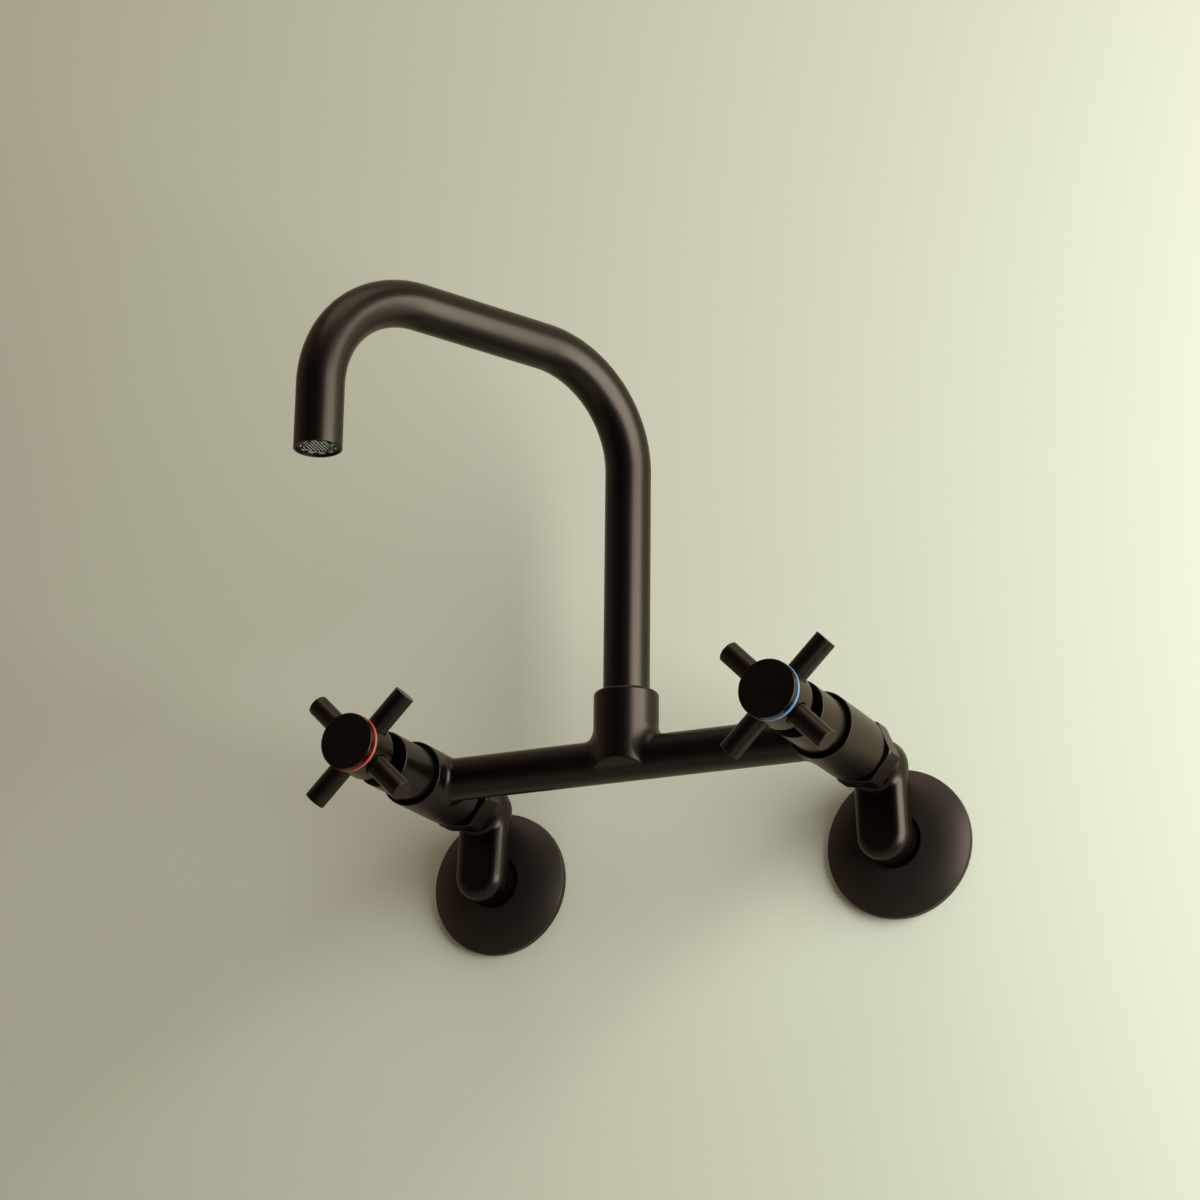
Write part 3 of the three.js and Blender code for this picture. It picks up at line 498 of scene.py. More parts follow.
# Colour, second colour, metallic, roughness from and to, size and height of the grain. A finish that has
# the name of one of the record's material slots is what that slot looks like.
FINISHES = {
    "bronze": ((0.039, 0.0315, 0.0265), (0.045, 0.036, 0.0305), 1.0, (0.29, 0.34), 0.0006, 0.000006),
    "spun_bronze": ((0.041, 0.031, 0.026), (0.048, 0.036, 0.030), 0.75, (0.42, 0.48), 0.0006, 0.000006),
    "bare_brass": ((0.60, 0.42, 0.19), (0.68, 0.50, 0.25), 1.0, (0.28, 0.38), 0.0008, 0.00001),
    "steel": ((0.55, 0.56, 0.58), (0.62, 0.63, 0.65), 1.0, (0.25, 0.35), 0.0005, 0.00001),
    "rubber": ((0.012, 0.012, 0.012), (0.02, 0.02, 0.02), 0.0, (0.7, 0.85), 0.0004, 0.00003),
    "light_plastic": ((0.30, 0.30, 0.29), (0.38, 0.38, 0.36), 0.0, (0.42, 0.55), 0.0006, 0.00001),
    "aerator_plastic_painted_shade": ((0.26, 0.26, 0.24), (0.32, 0.32, 0.30), 0.0, (0.42, 0.55), 0.0006, 0.00001),
    "screen_steel_painted_shade": ((0.46, 0.47, 0.42), (0.54, 0.55, 0.50), 0.3, (0.45, 0.55), 0.0005, 0.000005),
    "ceramic": ((0.80, 0.78, 0.72), (0.86, 0.84, 0.79), 0.0, (0.15, 0.25), 0.0008, 0.000005),
    "red": ((0.53, 0.066, 0.050), (0.59, 0.078, 0.058), 0.0, (0.32, 0.42), 0.0008, 0.000008),
    "blue": ((0.095, 0.215, 0.40), (0.11, 0.25, 0.46), 0.0, (0.32, 0.42), 0.0008, 0.000008),
}
PATCH = 0.03  # size of the slow change of colour over a surface
COAT_WAVE = 0.004  # size of the slight unevenness of the bronze coat
COAT_WAVE_HEIGHT = 0.00001
COAT_RIM = (0.93, 0.84, 0.77, 1)  # tint of what the coat reflects at a low angle
# Heights above the outlet's face between which a finish goes dark: painted shade, as deep in the outlet's
# recesses
PAINTED_SHADE_HEIGHTS = {"aerator_plastic_painted_shade": (0.0008, 0.0011), "screen_steel_painted_shade": (0.0012, 0.0014)}
# Colour of that painted shade
PAINTED_SHADE_TONE = (0.006, 0.006, 0.005, 1)


def linked(tree, kind, inputs=None, **settings):
    """A node with its settings, and its inputs linked or set."""
    node = tree.nodes.new(kind)
    for name, value in settings.items():
        setattr(node, name, value)
    for name, value in (inputs or {}).items():
        if isinstance(value, bpy.types.NodeSocket):
            tree.links.new(value, node.inputs[name])
        else:
            node.inputs[name].default_value = value
    return node


def noise(tree, where, size, detail):
    return linked(tree, "ShaderNodeTexNoise", {"Vector": where, "Scale": 1 / size, "Detail": detail})


def painted_recess_shade(tree, where, colour, low, high):
    """Painted shade: a colour that goes dark between two heights above the outlet's face, as shade deep in a
    recess.
    """
    face = valve_z + SPOUT_OUTLET
    height = linked(tree, "ShaderNodeSeparateXYZ", {"Vector": where}).outputs["Z"]
    depth = linked(tree, "ShaderNodeMapRange", {
        "Value": height, "From Min": face + low, "From Max": face + high}).outputs["Result"]
    mixed = linked(tree, "ShaderNodeMix", {"Factor": depth}, data_type="RGBA")
    tree.links.new(colour, mixed.inputs["A"])
    mixed.inputs["B"].default_value = PAINTED_SHADE_TONE
    return mixed.outputs["Result"]


def material(finish):
    """One procedural finish, made when it is first asked for."""
    name = f"{finish}_finish"
    if name in bpy.data.materials:
        return bpy.data.materials[name]
    colour, second, metallic, (smooth, rough), grain, height = FINISHES[finish]
    made = bpy.data.materials.new(name)
    made.use_nodes = True
    tree = made.node_tree
    shader = tree.nodes["Principled BSDF"]
    where = linked(tree, "ShaderNodeTexCoord").outputs["Object"]
    patches = noise(tree, where, PATCH, 3.0).outputs["Fac"]
    fine = noise(tree, where, grain, 2.0).outputs["Fac"]
    tint = linked(tree, "ShaderNodeMix", {"Factor": patches}, data_type="RGBA")
    tint.inputs["A"].default_value = (*colour, 1)
    tint.inputs["B"].default_value = (*second, 1)
    sheen = linked(tree, "ShaderNodeMapRange", {"Value": patches, "To Min": smooth, "To Max": rough})
    bump = linked(tree, "ShaderNodeBump", {"Height": fine, "Strength": 1.0, "Distance": height})
    if "bronze" in finish:
        shader.inputs["Specular Tint"].default_value = COAT_RIM
        wave = noise(tree, where, COAT_WAVE, 1.0).outputs["Fac"]
        bump = linked(tree, "ShaderNodeBump", {
            "Height": wave, "Strength": 1.0, "Distance": COAT_WAVE_HEIGHT, "Normal": bump.outputs["Normal"]})
    colour = tint.outputs["Result"]
    # Painted shade deep in the outlet, by height
    if finish in PAINTED_SHADE_HEIGHTS:
        colour = painted_recess_shade(tree, where, colour, *PAINTED_SHADE_HEIGHTS[finish])
    tree.links.new(colour, shader.inputs["Base Color"])
    tree.links.new(sheen.outputs["Result"], shader.inputs["Roughness"])
    tree.links.new(bump.outputs["Normal"], shader.inputs["Normal"])
    shader.inputs["Metallic"].default_value = metallic
    return made


# The first word that a node's name has in it gives its finish, and bronze is what the others get. The
# cartridge and the stem get the dark bronze finish in place of their brass, as painted shade in the gap
# behind a hub.
FINISH_OF_NODE = (
    ("seal", "rubber"), ("washer", "rubber"), ("disc", "ceramic"), ("cartridge", "bronze"),
    ("stem", "bronze"), ("ferrule", "bare_brass"), ("bush", "bare_brass"), ("screw", "steel"),
    ("snap", "steel"), ("aerator", "light_plastic"), ("slip", "light_plastic"), ("hot_index", "red"),
    ("cold_index", "blue"),
)


def finish_cad_nodes():
    """Gives every CAD node a procedural finish in place of its flat colour."""
    for name, node in frame["nodes"].items():
        finish = next((finish for word, finish in FINISH_OF_NODE if word in name), "bronze")
        node.data.materials.clear()
        node.data.materials.append(material(finish))


# ---------------------------------------------------------------- bridge body

CAST_CELL = 0.0007
CUT = 0.0045  # from a valve body's ends to where its turned ends start


def socket_distance(x, y, z):
    """A column whose underside slopes in to the tube, front and back."""
    out = np.abs(y + riser_out)
    underside = -(z + SOCKET_DROP + SOCKET_SLOPE * (SOCKET_RADIUS - out)) / math.hypot(1, SOCKET_SLOPE)
    return round_overlap(np.hypot(x, out) - SOCKET_RADIUS, underside, SOCKET_EDGE)


def bridge_distance(x, y, z):
    """Tube, socket and both valve bodies, z from the bridge axis."""
    tube = np.maximum(np.hypot(y + riser_out, z) - BRIDGE_RADIUS, np.abs(x) - valve_x)
    body = np.hypot(np.abs(x) - valve_x, z) - body_radius
    lock = np.maximum(np.hypot(x, z - lock_height) - LOCK_HOLE_RADIUS, -y - riser_out)
    fillet = np.interp(z, (-SOCKET_RADIUS / 3, SOCKET_RADIUS), (SOCKET_EDGE, SOCKET_FILLET))
    cast = round_union(round_union(tube, socket_distance(x, y, z), fillet), body, BRIDGE_FILLET)
    return np.maximum(cast, -lock)


def body_front_end():
    """The front of a valve body, with the recess round the sleeve and the chamber in it."""
    floor = body_front - MOUTH_DEPTH
    return lathe([
        (body_radius, body_front - CUT + CAST_CELL),
        (body_radius, body_front, BODY_CHAMFER),
        (MOUTH_RADIUS, body_front, MOUTH_CHAMFER),
        (MOUTH_RADIUS, floor, SHARP),
        (CHAMBER_RADIUS, floor, SHARP),
        (CHAMBER_RADIUS, floor - CHAMBER_DEPTH, SHARP),
        (0, floor - CHAMBER_DEPTH),
    ])


def body_back_end():
    """The back of a valve body, with its neck and the way in from the union."""
    return lathe([
        (0, body_back),
        (WATERWAY_RADIUS, body_back, SHARP),
        (WATERWAY_RADIUS, neck_end, BODY_CHAMFER),
        (NECK_RADIUS, neck_end, BODY_CHAMFER),
        (NECK_RADIUS, body_back, SHARP),
        (body_radius, body_back, BODY_CHAMFER),
        (body_radius, body_back + CUT - CAST_CELL),
    ])


def socket_top_end():
    top = socket_top
    return lathe([
        (SOCKET_RADIUS, top - SOCKET_SHOULDER - CAST_CELL),
        (SOCKET_RADIUS, top, SOCKET_SHOULDER - SHARP),
        (SOCKET_BORE, top, SHARP),
        (SOCKET_BORE, top - SOCKET_DEPTH, SHARP),
        (0, top - SOCKET_DEPTH),
    ])


def bridge_body():
    back, front = body_back + CUT, body_front - CUT
    top = socket_top - SOCKET_SHOULDER - 2 * CAST_CELL
    reach = valve_x + body_radius + 2 * CAST_CELL
    beside = SOCKET_RADIUS + SOCKET_FILLET + 2 * CAST_CELL
    socket_front = riser_out + SOCKET_RADIUS + 2 * CAST_CELL
    socket_back = riser_out - SOCKET_RADIUS - 2 * CAST_CELL

    def keep(x, y, z):
        return (np.abs(x) < beside) | ((-y > back) & (-y < front))

    surface = net(
        bridge_distance,
        steps_between(-reach, reach, CAST_CELL),
        steps_between(-socket_front, -min(back, socket_back), CAST_CELL),
        steps_between(-body_radius - 2 * CAST_CELL, top, CAST_CELL),
        keep,
    )
    spots = surface.points
    for side in (-1, 1):
        origin = (side * valve_x, 0, 0)
        on_side = [e for e in surface.border if side * spots[e[0]][0] > beside]
        middle = -(back + front) / 2
        front_border = [e for e in on_side if spots[e[0]][1] < middle]
        back_border = [e for e in on_side if spots[e[0]][1] > middle]
        place = aimed(origin, (0, -1, 0), (1, 0, 0))
        for part, border, at_start in (
            (body_front_end(), front_border, True), (body_back_end(), back_border, False),
        ):
            attach(surface, part.moved(place), border, at_start, origin, (1, 0, 0), (0, 0, 1))
    origin = Vector((0, -riser_out, 0))
    border = [
        e for e in surface.border
        if abs(spots[e[0]][0]) < beside and spots[e[0]][2] > top - 3 * CAST_CELL
    ]
    part = socket_top_end().moved(Matrix.Translation(origin))
    attach(surface, part, border, True, origin, (1, 0, 0), (0, 1, 0))
    placed = surface.moved(Matrix.Translation((0, 0, valve_z)))
    piece("bridge_body_cast", placed, "bridge", "bronze", "bridge_body")


# ---------------------------------------------------------------- swing arms

ARM_CELL = 0.0006
ARM_CUT = 0.0026  # past the link's back, where the turned stub starts


def arm_distance(x, y, z):
    """The link with the root of its shank and of its stub, z from the valve's axis along the arm."""
    out = -y
    outline = np.hypot(x, z - np.clip(z, -ARM_DROP, 0)) - LINK_RADIUS + LINK_EDGE
    middle, half = (LINK_FRONT + LINK_BACK) / 2, (LINK_FRONT - LINK_BACK) / 2 - LINK_EDGE
    depth = np.abs(out - middle) - half
    link = np.minimum(np.maximum(outline, depth), 0) - LINK_EDGE + np.hypot(
        np.maximum(outline, 0), np.maximum(depth, 0))
    shank = np.maximum(np.hypot(x, z) - SHANK_RADIUS, middle - out)
    stub = np.maximum(np.hypot(x, z + ARM_DROP) - STUB_RADIUS, out - middle)
    return round_union(round_union(link, shank, SHANK_FILLET), stub, STUB_FILLET)


def shank_end():
    """The round neck behind the union, with its nose and the way through it."""
    return lathe([
        (SHANK_RADIUS, LINK_FRONT + 2 * SHANK_FILLET + ARM_CELL),
        (SHANK_RADIUS, SHANK_END, BODY_CHAMFER),
        (NOSE_RADIUS, SHANK_END, SHARP),
        (NOSE_RADIUS, NOSE_END, BODY_CHAMFER),
        (WATERWAY_RADIUS, NOSE_END, SHARP),
        (WATERWAY_RADIUS, LINK_FRONT, SHARP),
        (0, LINK_FRONT),
    ])


def stub_end():
    """The inlet, with its socket for a supply nipple."""
    return lathe([
        (0, LINK_FRONT - LINK_EDGE),
        (WATERWAY_RADIUS, LINK_FRONT - LINK_EDGE, SHARP),
        (WATERWAY_RADIUS, STUB_OUT + PIPE_DEPTH, SHARP),
        (PIPE_RADIUS, STUB_OUT + PIPE_DEPTH, SHARP),
        (PIPE_RADIUS, STUB_OUT, BODY_CHAMFER),
        (STUB_RADIUS, STUB_OUT, BODY_CHAMFER),
        (STUB_RADIUS, LINK_BACK - ARM_CUT - ARM_CELL),
    ])


def swing_arm(prefix, side):
    reach = LINK_RADIUS + 2 * ARM_CELL
    surface = net(
        arm_distance,
        steps_between(-reach, reach, ARM_CELL),
        steps_between(-LINK_FRONT - 2 * SHANK_FILLET, -LINK_BACK + ARM_CUT, ARM_CELL),
        steps_between(-ARM_DROP - reach, reach, ARM_CELL),
    )
    spots = surface.points
    middle = -(LINK_FRONT + LINK_BACK) / 2
    ends = ((shank_end(), True, 0, True), (stub_end(), False, -ARM_DROP, False))
    for part, at_start, height, front in ends:
        origin = Vector((0, 0, height))
        placed = part.moved(aimed(origin, (0, -1, 0), (1, 0, 0)))
        border = [e for e in surface.border if (spots[e[0]][1] < middle) == front]
        attach(surface, placed, border, at_start, origin, (1, 0, 0), (0, 0, 1))
    placed = surface.moved(arm_origin(side))
    piece(f"{prefix}_swing_arm_cast", placed, f"{prefix}_arm", "bronze", f"{prefix}_swing_arm")


def wall_flange(prefix, side):
    """A shallow dome with a straight rim and a hub that holds its seal."""
    back, front = along_valve(f"{prefix}_wall_flange")
    height = front - back
    radius = radius_of(f"{prefix}_wall_flange")
    crown = height - FLANGE_RIM

    def dome(r):
        return FLANGE_RIM + crown * (1 - max(0, (r - FLANGE_HOLE) / (radius - FLANGE_HOLE)) ** FLANGE_CURVE)

    steps = range(FLANGE_STEPS - 1, 0, -1)
    spots = [FLANGE_HOLE + step / FLANGE_STEPS * (radius - FLANGE_HOLE) for step in steps]
    middle = (FLANGE_HOLE + radius) / 2
    inner = radius - FLANGE_FOOT
    surface = lathe([
        (inner, 0),
        (radius, 0, SHARP),
        (radius, FLANGE_RIM, FLANGE_EDGE),
        *((spot, dome(spot), 1) for spot in spots),
        (FLANGE_HOLE, height, FLANGE_HOLE_EDGE),
        (FLANGE_HOLE, height - 2 * FLANGE_WALL),
        (middle, dome(middle) - FLANGE_WALL, FLANGE_HOLLOW_EDGE),
        (inner, FLANGE_RIM - FLANGE_WALL / 2, FLANGE_WALL),
    ], closed=True)
    origin = arm_origin(side) @ Matrix.Translation((0, 0, -ARM_DROP))
    placed = surface.moved(origin @ aimed((0, 0, 0), (0, -1, 0), (1, 0, 0)))
    piece(f"{prefix}_wall_flange_spun", placed, f"{prefix}_arm", "bronze", f"{prefix}_wall_flange",
          finish="spun_bronze")


# ---------------------------------------------------------------- union nuts

NUT_CELL = 0.00045


def union_nut(prefix, side):
    """A hexagon with chamfered corners, threaded over the valve's neck."""
    back, front = along_valve(f"{prefix}_union_nut")
    corner = NUT_FLATS / math.sqrt(3)
    lean = math.atan2(corner - NUT_FACE_RADIUS, NUT_CHAMFER)
    thread = NECK_RADIUS + THREAD_GAP
    lip = NOSE_RADIUS + THREAD_GAP

    def distance(x, y, z):
        out, across = -y, np.hypot(x, z)
        hexagon = np.full(np.shape(x), -1.0)
        for i in range(6):
            angle = -NUT_TURN + math.radians(30 + 60 * i)
            flat = x * math.cos(angle) + z * math.sin(angle) - NUT_FLATS / 2
            hexagon = round_overlap(hexagon, flat, NUT_EDGE)
        end = np.maximum(back - out, out - front)
        cone = (across - NUT_FACE_RADIUS) * math.cos(lean) + end * math.sin(lean)
        outside = round_overlap(round_overlap(hexagon, cone, NUT_EDGE / 2), end, NUT_EDGE / 2)
        hole = np.minimum(across - lip, np.maximum(across - thread, back + NUT_LIP - out))
        return round_overlap(outside, -hole, NUT_EDGE / 2)

    reach = corner + 2 * NUT_CELL
    steps = steps_between(-reach, reach, NUT_CELL)
    depths = steps_between(-front - 2 * NUT_CELL, -back + 2 * NUT_CELL, NUT_CELL)
    placed = net(distance, steps, depths, steps).moved(valve_origin(side))
    piece(f"{prefix}_union_nut_milled", placed, "bridge", "bronze", f"{prefix}_union_nut")


# ---------------------------------------------------------------- sleeves and handles

HUB_CELL = 0.0004


def bonnet_sleeve(prefix, side):
    back, front = along_valve(f"{prefix}_bonnet_sleeve")
    radius = radius_of(f"{prefix}_bonnet_sleeve")
    inner = radius - SLEEVE_WALL
    web = front - SLEEVE_RECESS
    surface = lathe([
        (inner, back, SHARP),
        (radius, back, SLEEVE_EDGE),
        (radius, front, SLEEVE_EDGE),
        (inner, front, SHARP),
        (inner, web, SHARP),
        (GLAND_HOLE, web, SHARP),
        (GLAND_HOLE, web - SLEEVE_WEB, SHARP),
        (inner, web - SLEEVE_WEB, SHARP),
    ], closed=True)
    piece(f"{prefix}_bonnet_sleeve_turned", surface.moved(valve_place(side)), "bridge", "bronze",
          f"{prefix}_bonnet_sleeve")


def lever_angle(index):
    return LEVER_START + index * 2 * math.pi / LEVER_COUNT


def handle(prefix, side, ring_slot):
    """Hub with its four levers, the coloured ring and the cap that closes the front."""
    body = f"{prefix}_handle"
    hub_back, hub_neck = along_valve(f"{prefix}_handle_hub")
    ring_back, ring_front = along_valve(f"{prefix}_index_ring")
    cap_back, cap_front = along_valve(f"{prefix}_handle_cap")
    radius = radius_of(f"{prefix}_handle_cap")
    hub_front = ring_back - LEVER_GAP
    lever_back, lever_front = along_valve(f"{prefix}_lever_1")
    lever_out, lever_radius = (lever_back + lever_front) / 2, (lever_front - lever_back) / 2
    reach = lever_reach(prefix, side, lever_radius)
    place = valve_place(side)
    hub = handle_hub(hub_back, hub_front, hub_neck, radius, lever_out, lever_radius + LEVER_GAP)
    piece(f"{prefix}_handle_hub_turned", hub.moved(valve_origin(side)), body, "bronze",
          f"{prefix}_handle_hub")
    for index in range(LEVER_COUNT):
        angle = lever_angle(index)
        direction = Vector((math.cos(angle), 0, math.sin(angle)))
        rod = lathe([
            (0, LEVER_SEAT + LEVER_GAP),
            (lever_radius, LEVER_SEAT + LEVER_GAP, SHARP),
            (lever_radius, reach, LEVER_EDGE),
            (0, reach),
        ])
        origin = Vector((side * valve_x, -lever_out, valve_z))
        placed = rod.moved(aimed(origin, direction, (0, 1, 0)))
        node = f"{prefix}_lever_{index + 1}"
        piece(f"{node}_turned", placed, body, "bronze", node)
    ring = lathe(ring_profile(HUB_NECK_RADIUS + LEVER_GAP, radius_of(f"{prefix}_index_ring"),
                              ring_back + RING_INSET, ring_front - RING_INSET, RING_EDGE), closed=True)
    piece(f"{prefix}_index_ring_moulded", ring.moved(place), body, ring_slot, f"{prefix}_index_ring")
    cap = lathe([
        (0, cap_back),
        (CAP_PLUG_RADIUS, cap_back, SHARP),
        (CAP_PLUG_RADIUS, hub_neck + LEVER_GAP, SHARP),
        (radius, hub_neck + LEVER_GAP, SHARP),
        (radius, cap_front, CAP_EDGE),
        (0, cap_front),
    ])
    piece(f"{prefix}_handle_cap_turned", cap.moved(place), body, "bronze", f"{prefix}_handle_cap")


def lever_reach(prefix, side, lever_radius):
    """How far a lever's end is from the handle's axis, worked out from its box at 45 degrees."""
    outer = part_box(f"{prefix}_lever_1")[1].x - side * valve_x
    return outer / math.cos(LEVER_START) - lever_radius + LEVER_EDGE


def handle_hub(back, front, neck, radius, lever_out, hole):
    """The hub's side is pierced by the levers, and its ends are turned."""
    def distance(x, y, z):
        out, across = -y, np.hypot(x, z)
        result = across - radius
        for index in range(LEVER_COUNT):
            angle = lever_angle(index)
            away = x * math.cos(angle) + z * math.sin(angle)
            aside = x * math.sin(angle) - z * math.cos(angle)
            drilled = np.maximum(np.hypot(aside, out - lever_out) - hole, LEVER_SEAT - away)
            result = round_overlap(result, -drilled, SHARP)
        return result

    low, high = lever_out - hole - 2 * HUB_CELL, lever_out + hole + HUB_CELL
    reach = radius + 2 * HUB_CELL
    steps = steps_between(-reach, reach, HUB_CELL)
    surface = net(distance, steps, steps_between(-high, -low, HUB_CELL), steps)
    spots = surface.points
    ends = (
        (lathe([
            (0, back + HUB_RECESS),
            (HUB_RECESS_RADIUS, back + HUB_RECESS, SHARP),
            (HUB_RECESS_RADIUS, back, SHARP),
            (radius, back, HUB_EDGE),
            (radius, low - HUB_CELL / 2),
        ]), False, lambda y: y > -lever_out),
        (lathe([
            (radius, high + HUB_CELL / 2),
            (radius, front, SHARP),
            (HUB_NECK_RADIUS, front, SHARP),
            (HUB_NECK_RADIUS, neck, SHARP),
            (CAP_PLUG_RADIUS + LEVER_GAP, neck, SHARP),
            (CAP_PLUG_RADIUS + LEVER_GAP, front, SHARP),
            (0, front),
        ]), True, lambda y: y < -lever_out),
    )
    for part, at_start, chosen in ends:
        placed = part.moved(aimed((0, 0, 0), (0, -1, 0), (1, 0, 0)))
        border = [e for e in surface.border if chosen(spots[e[0]][1])]
        attach(surface, placed, border, at_start, (0, 0, 0), (1, 0, 0), (0, 0, 1))
    return surface


# ---------------------------------------------------------------- spout


def spout_stations(bottom):
    """Places along the spout's centre line as (distance out, height, angle turned from upright)."""
    start = SPOUT_RISE - SPOUT_BEND
    stations = [(0, bottom, 0)]
    for first_out, first_height, begin in (
        (0, start, 0), (SPOUT_REACH - 2 * SPOUT_BEND, start, math.pi / 2),
    ):
        for step in range(BEND_STEPS + 1):
            angle = begin + math.pi / 2 * step / BEND_STEPS
            out = first_out + SPOUT_BEND * (1 - math.cos(angle))
            stations.append((out, first_height + SPOUT_BEND * math.sin(angle), angle))
    stations.append((SPOUT_REACH, SPOUT_OUTLET, math.pi))
    return stations


def spout_tube():
    """One bent tube, its wall open to view at the outlet."""
    bottom = min(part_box("spout_tube")[0].z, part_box("spout_ferrule")[1].z - FERRULE_HOLD)
    stations = spout_stations(bottom - valve_z)
    angle = np.arange(ROUND) * 2 * math.pi / ROUND
    points, normals = [], []

    def add_ring(station, radius, outwards, forwards, shift):
        out, height, turn = station
        ahead = np.array([0, -math.sin(turn), math.cos(turn)])
        upper = np.array([0, math.cos(turn), math.sin(turn)])
        spot = np.array([0, -out, height]) + ahead * shift
        radial = np.cos(angle)[:, None] * np.array([1.0, 0, 0]) + np.sin(angle)[:, None] * upper
        points.append(spot + radius * radial)
        normals.append(outwards * radial + forwards * ahead)

    def add_lip(station, sign):
        """Round the edge of one end, from the outside in at the outlet and from the inside out below."""
        middle_outer, middle_inner = SPOUT_RADIUS - SPOUT_LIP, SPOUT_BORE + SPOUT_LIP
        quarter = [math.pi / 2 * i / 4 for i in range(5)]
        outer = [(middle_outer + SPOUT_LIP * math.cos(a), math.cos(a), math.sin(a)) for a in quarter]
        inner = [(middle_inner - SPOUT_LIP * math.cos(a), -math.cos(a), math.sin(a)) for a in quarter[::-1]]
        chain = outer + inner if sign > 0 else [*inner[::-1], *outer[::-1]]
        for radius, outwards, forwards in chain:
            add_ring(station, radius, outwards, sign * forwards, sign * SPOUT_LIP * (forwards - 1))

    for station in stations[1:-1]:
        add_ring(station, SPOUT_RADIUS, 1, 0, 0)
    add_lip(stations[-1], 1)
    for station in stations[-2:0:-1]:
        add_ring(station, SPOUT_BORE, -1, 0, 0)
    add_lip(stations[0], -1)
    surface = rings(np.array(points), np.array(normals), closed=True)
    piece("spout_tube_bent", surface.moved(spout_place()), "spout", "bronze", "spout_tube")


def spout_place():
    """The riser's axis at the bridge's height, turned with the spout."""
    return Matrix.Translation((0, -riser_out, valve_z)) @ Matrix.Rotation(SPOUT_TURN, 4, "Z")


def outlet_place():
    return spout_place() @ Matrix.Translation((0, -SPOUT_REACH, SPOUT_OUTLET))


def outlet_bush():
    low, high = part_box("outlet_bush")
    radius = SPOUT_BORE - THREAD_GAP
    bore = radius_of("aerator_insert") + THREAD_GAP
    surface = lathe(ring_profile(bore, radius, OUTLET_RECESS, high.z - low.z, SHARP), closed=True)
    piece("outlet_bush_turned", surface.moved(outlet_place()), "spout", "bronze", "outlet_bush")


INSERT_CELL = 0.0002


def aerator_insert():
    """A notched outer rim, a groove, and an inner rim whose ledge carries the mesh. Its finish has painted
    shade deep in the notches and the groove.
    """
    low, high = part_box("aerator_insert")
    radius, top = (high.x - low.x) / 2, OUTLET_RECESS + high.z - low.z
    seat = OUTLET_RECESS + NOTCH_DEPTH
    groove = INSERT_BORE + INSERT_GROOVE
    screen_hole = INSERT_BORE - INSERT_RIM

    def distance(x, y, z):
        across = np.hypot(x, y)
        rim = np.maximum(across - radius, groove - across)
        for index in range(NOTCH_COUNT):
            angle = NOTCH_TURN + index * 2 * math.pi / NOTCH_COUNT
            away = x * math.cos(angle) + y * math.sin(angle)
            aside = np.abs(x * math.sin(angle) - y * math.cos(angle)) - NOTCH_WIDTH / 2
            notch = np.maximum(aside, np.maximum(z - seat, -away))
            rim = round_overlap(rim, -notch, SHARP)
        rim = np.minimum(rim, np.maximum(across - INSERT_BORE, screen_hole - across))
        floor = np.maximum(across - radius, screen_hole - INSERT_LEDGE - across)
        floor = np.maximum(floor, np.abs(z - seat - INSERT_LEDGE / 2) - INSERT_LEDGE / 2)
        wall = np.maximum(np.maximum(across - radius, INSERT_BORE - across), seat - z)
        foot = round_overlap(rim, np.maximum(OUTLET_RECESS - z, z - seat - INSERT_LEDGE / 2), SHARP)
        return np.minimum(np.minimum(foot, floor), np.maximum(wall, z - top))

    reach = radius + 2 * INSERT_CELL
    steps = steps_between(-reach, reach, INSERT_CELL)
    fine = steps_between(OUTLET_RECESS - 2 * INSERT_CELL, seat + INSERT_LEDGE + 2 * INSERT_CELL, INSERT_CELL)
    heights = np.concatenate([fine, np.linspace(fine[-1], top - INSERT_CELL, 4)[1:], [top + INSERT_CELL]])
    surface = net(distance, steps, steps, heights)
    piece("aerator_insert_moulded", surface.moved(outlet_place()), "spout", "light_plastic",
          "aerator_insert", finish="aerator_plastic_painted_shade")


def wire(radius, half, offset, height, phase):
    """One round wire along x that dips a little between those it crosses."""
    steps = np.linspace(-half, half, max(4, 4 * round(half / WIRE_PITCH)) + 1)
    lift = WIRE_BEND * np.cos(math.pi * steps / WIRE_PITCH + phase)
    ring = np.arange(WIRE_SIDES) * 2 * math.pi / WIRE_SIDES
    points = np.zeros((len(steps), WIRE_SIDES, 3))
    normals = np.zeros_like(points)
    points[..., 0] = steps[:, None]
    points[..., 1] = offset + radius * np.cos(ring)
    points[..., 2] = height + lift[:, None] + radius * np.sin(ring)
    normals[..., 1], normals[..., 2] = np.cos(ring), np.sin(ring)
    surface = rings(points, normals)
    surface.faces += [surface.first_ring[::-1], surface.last_ring]
    return surface


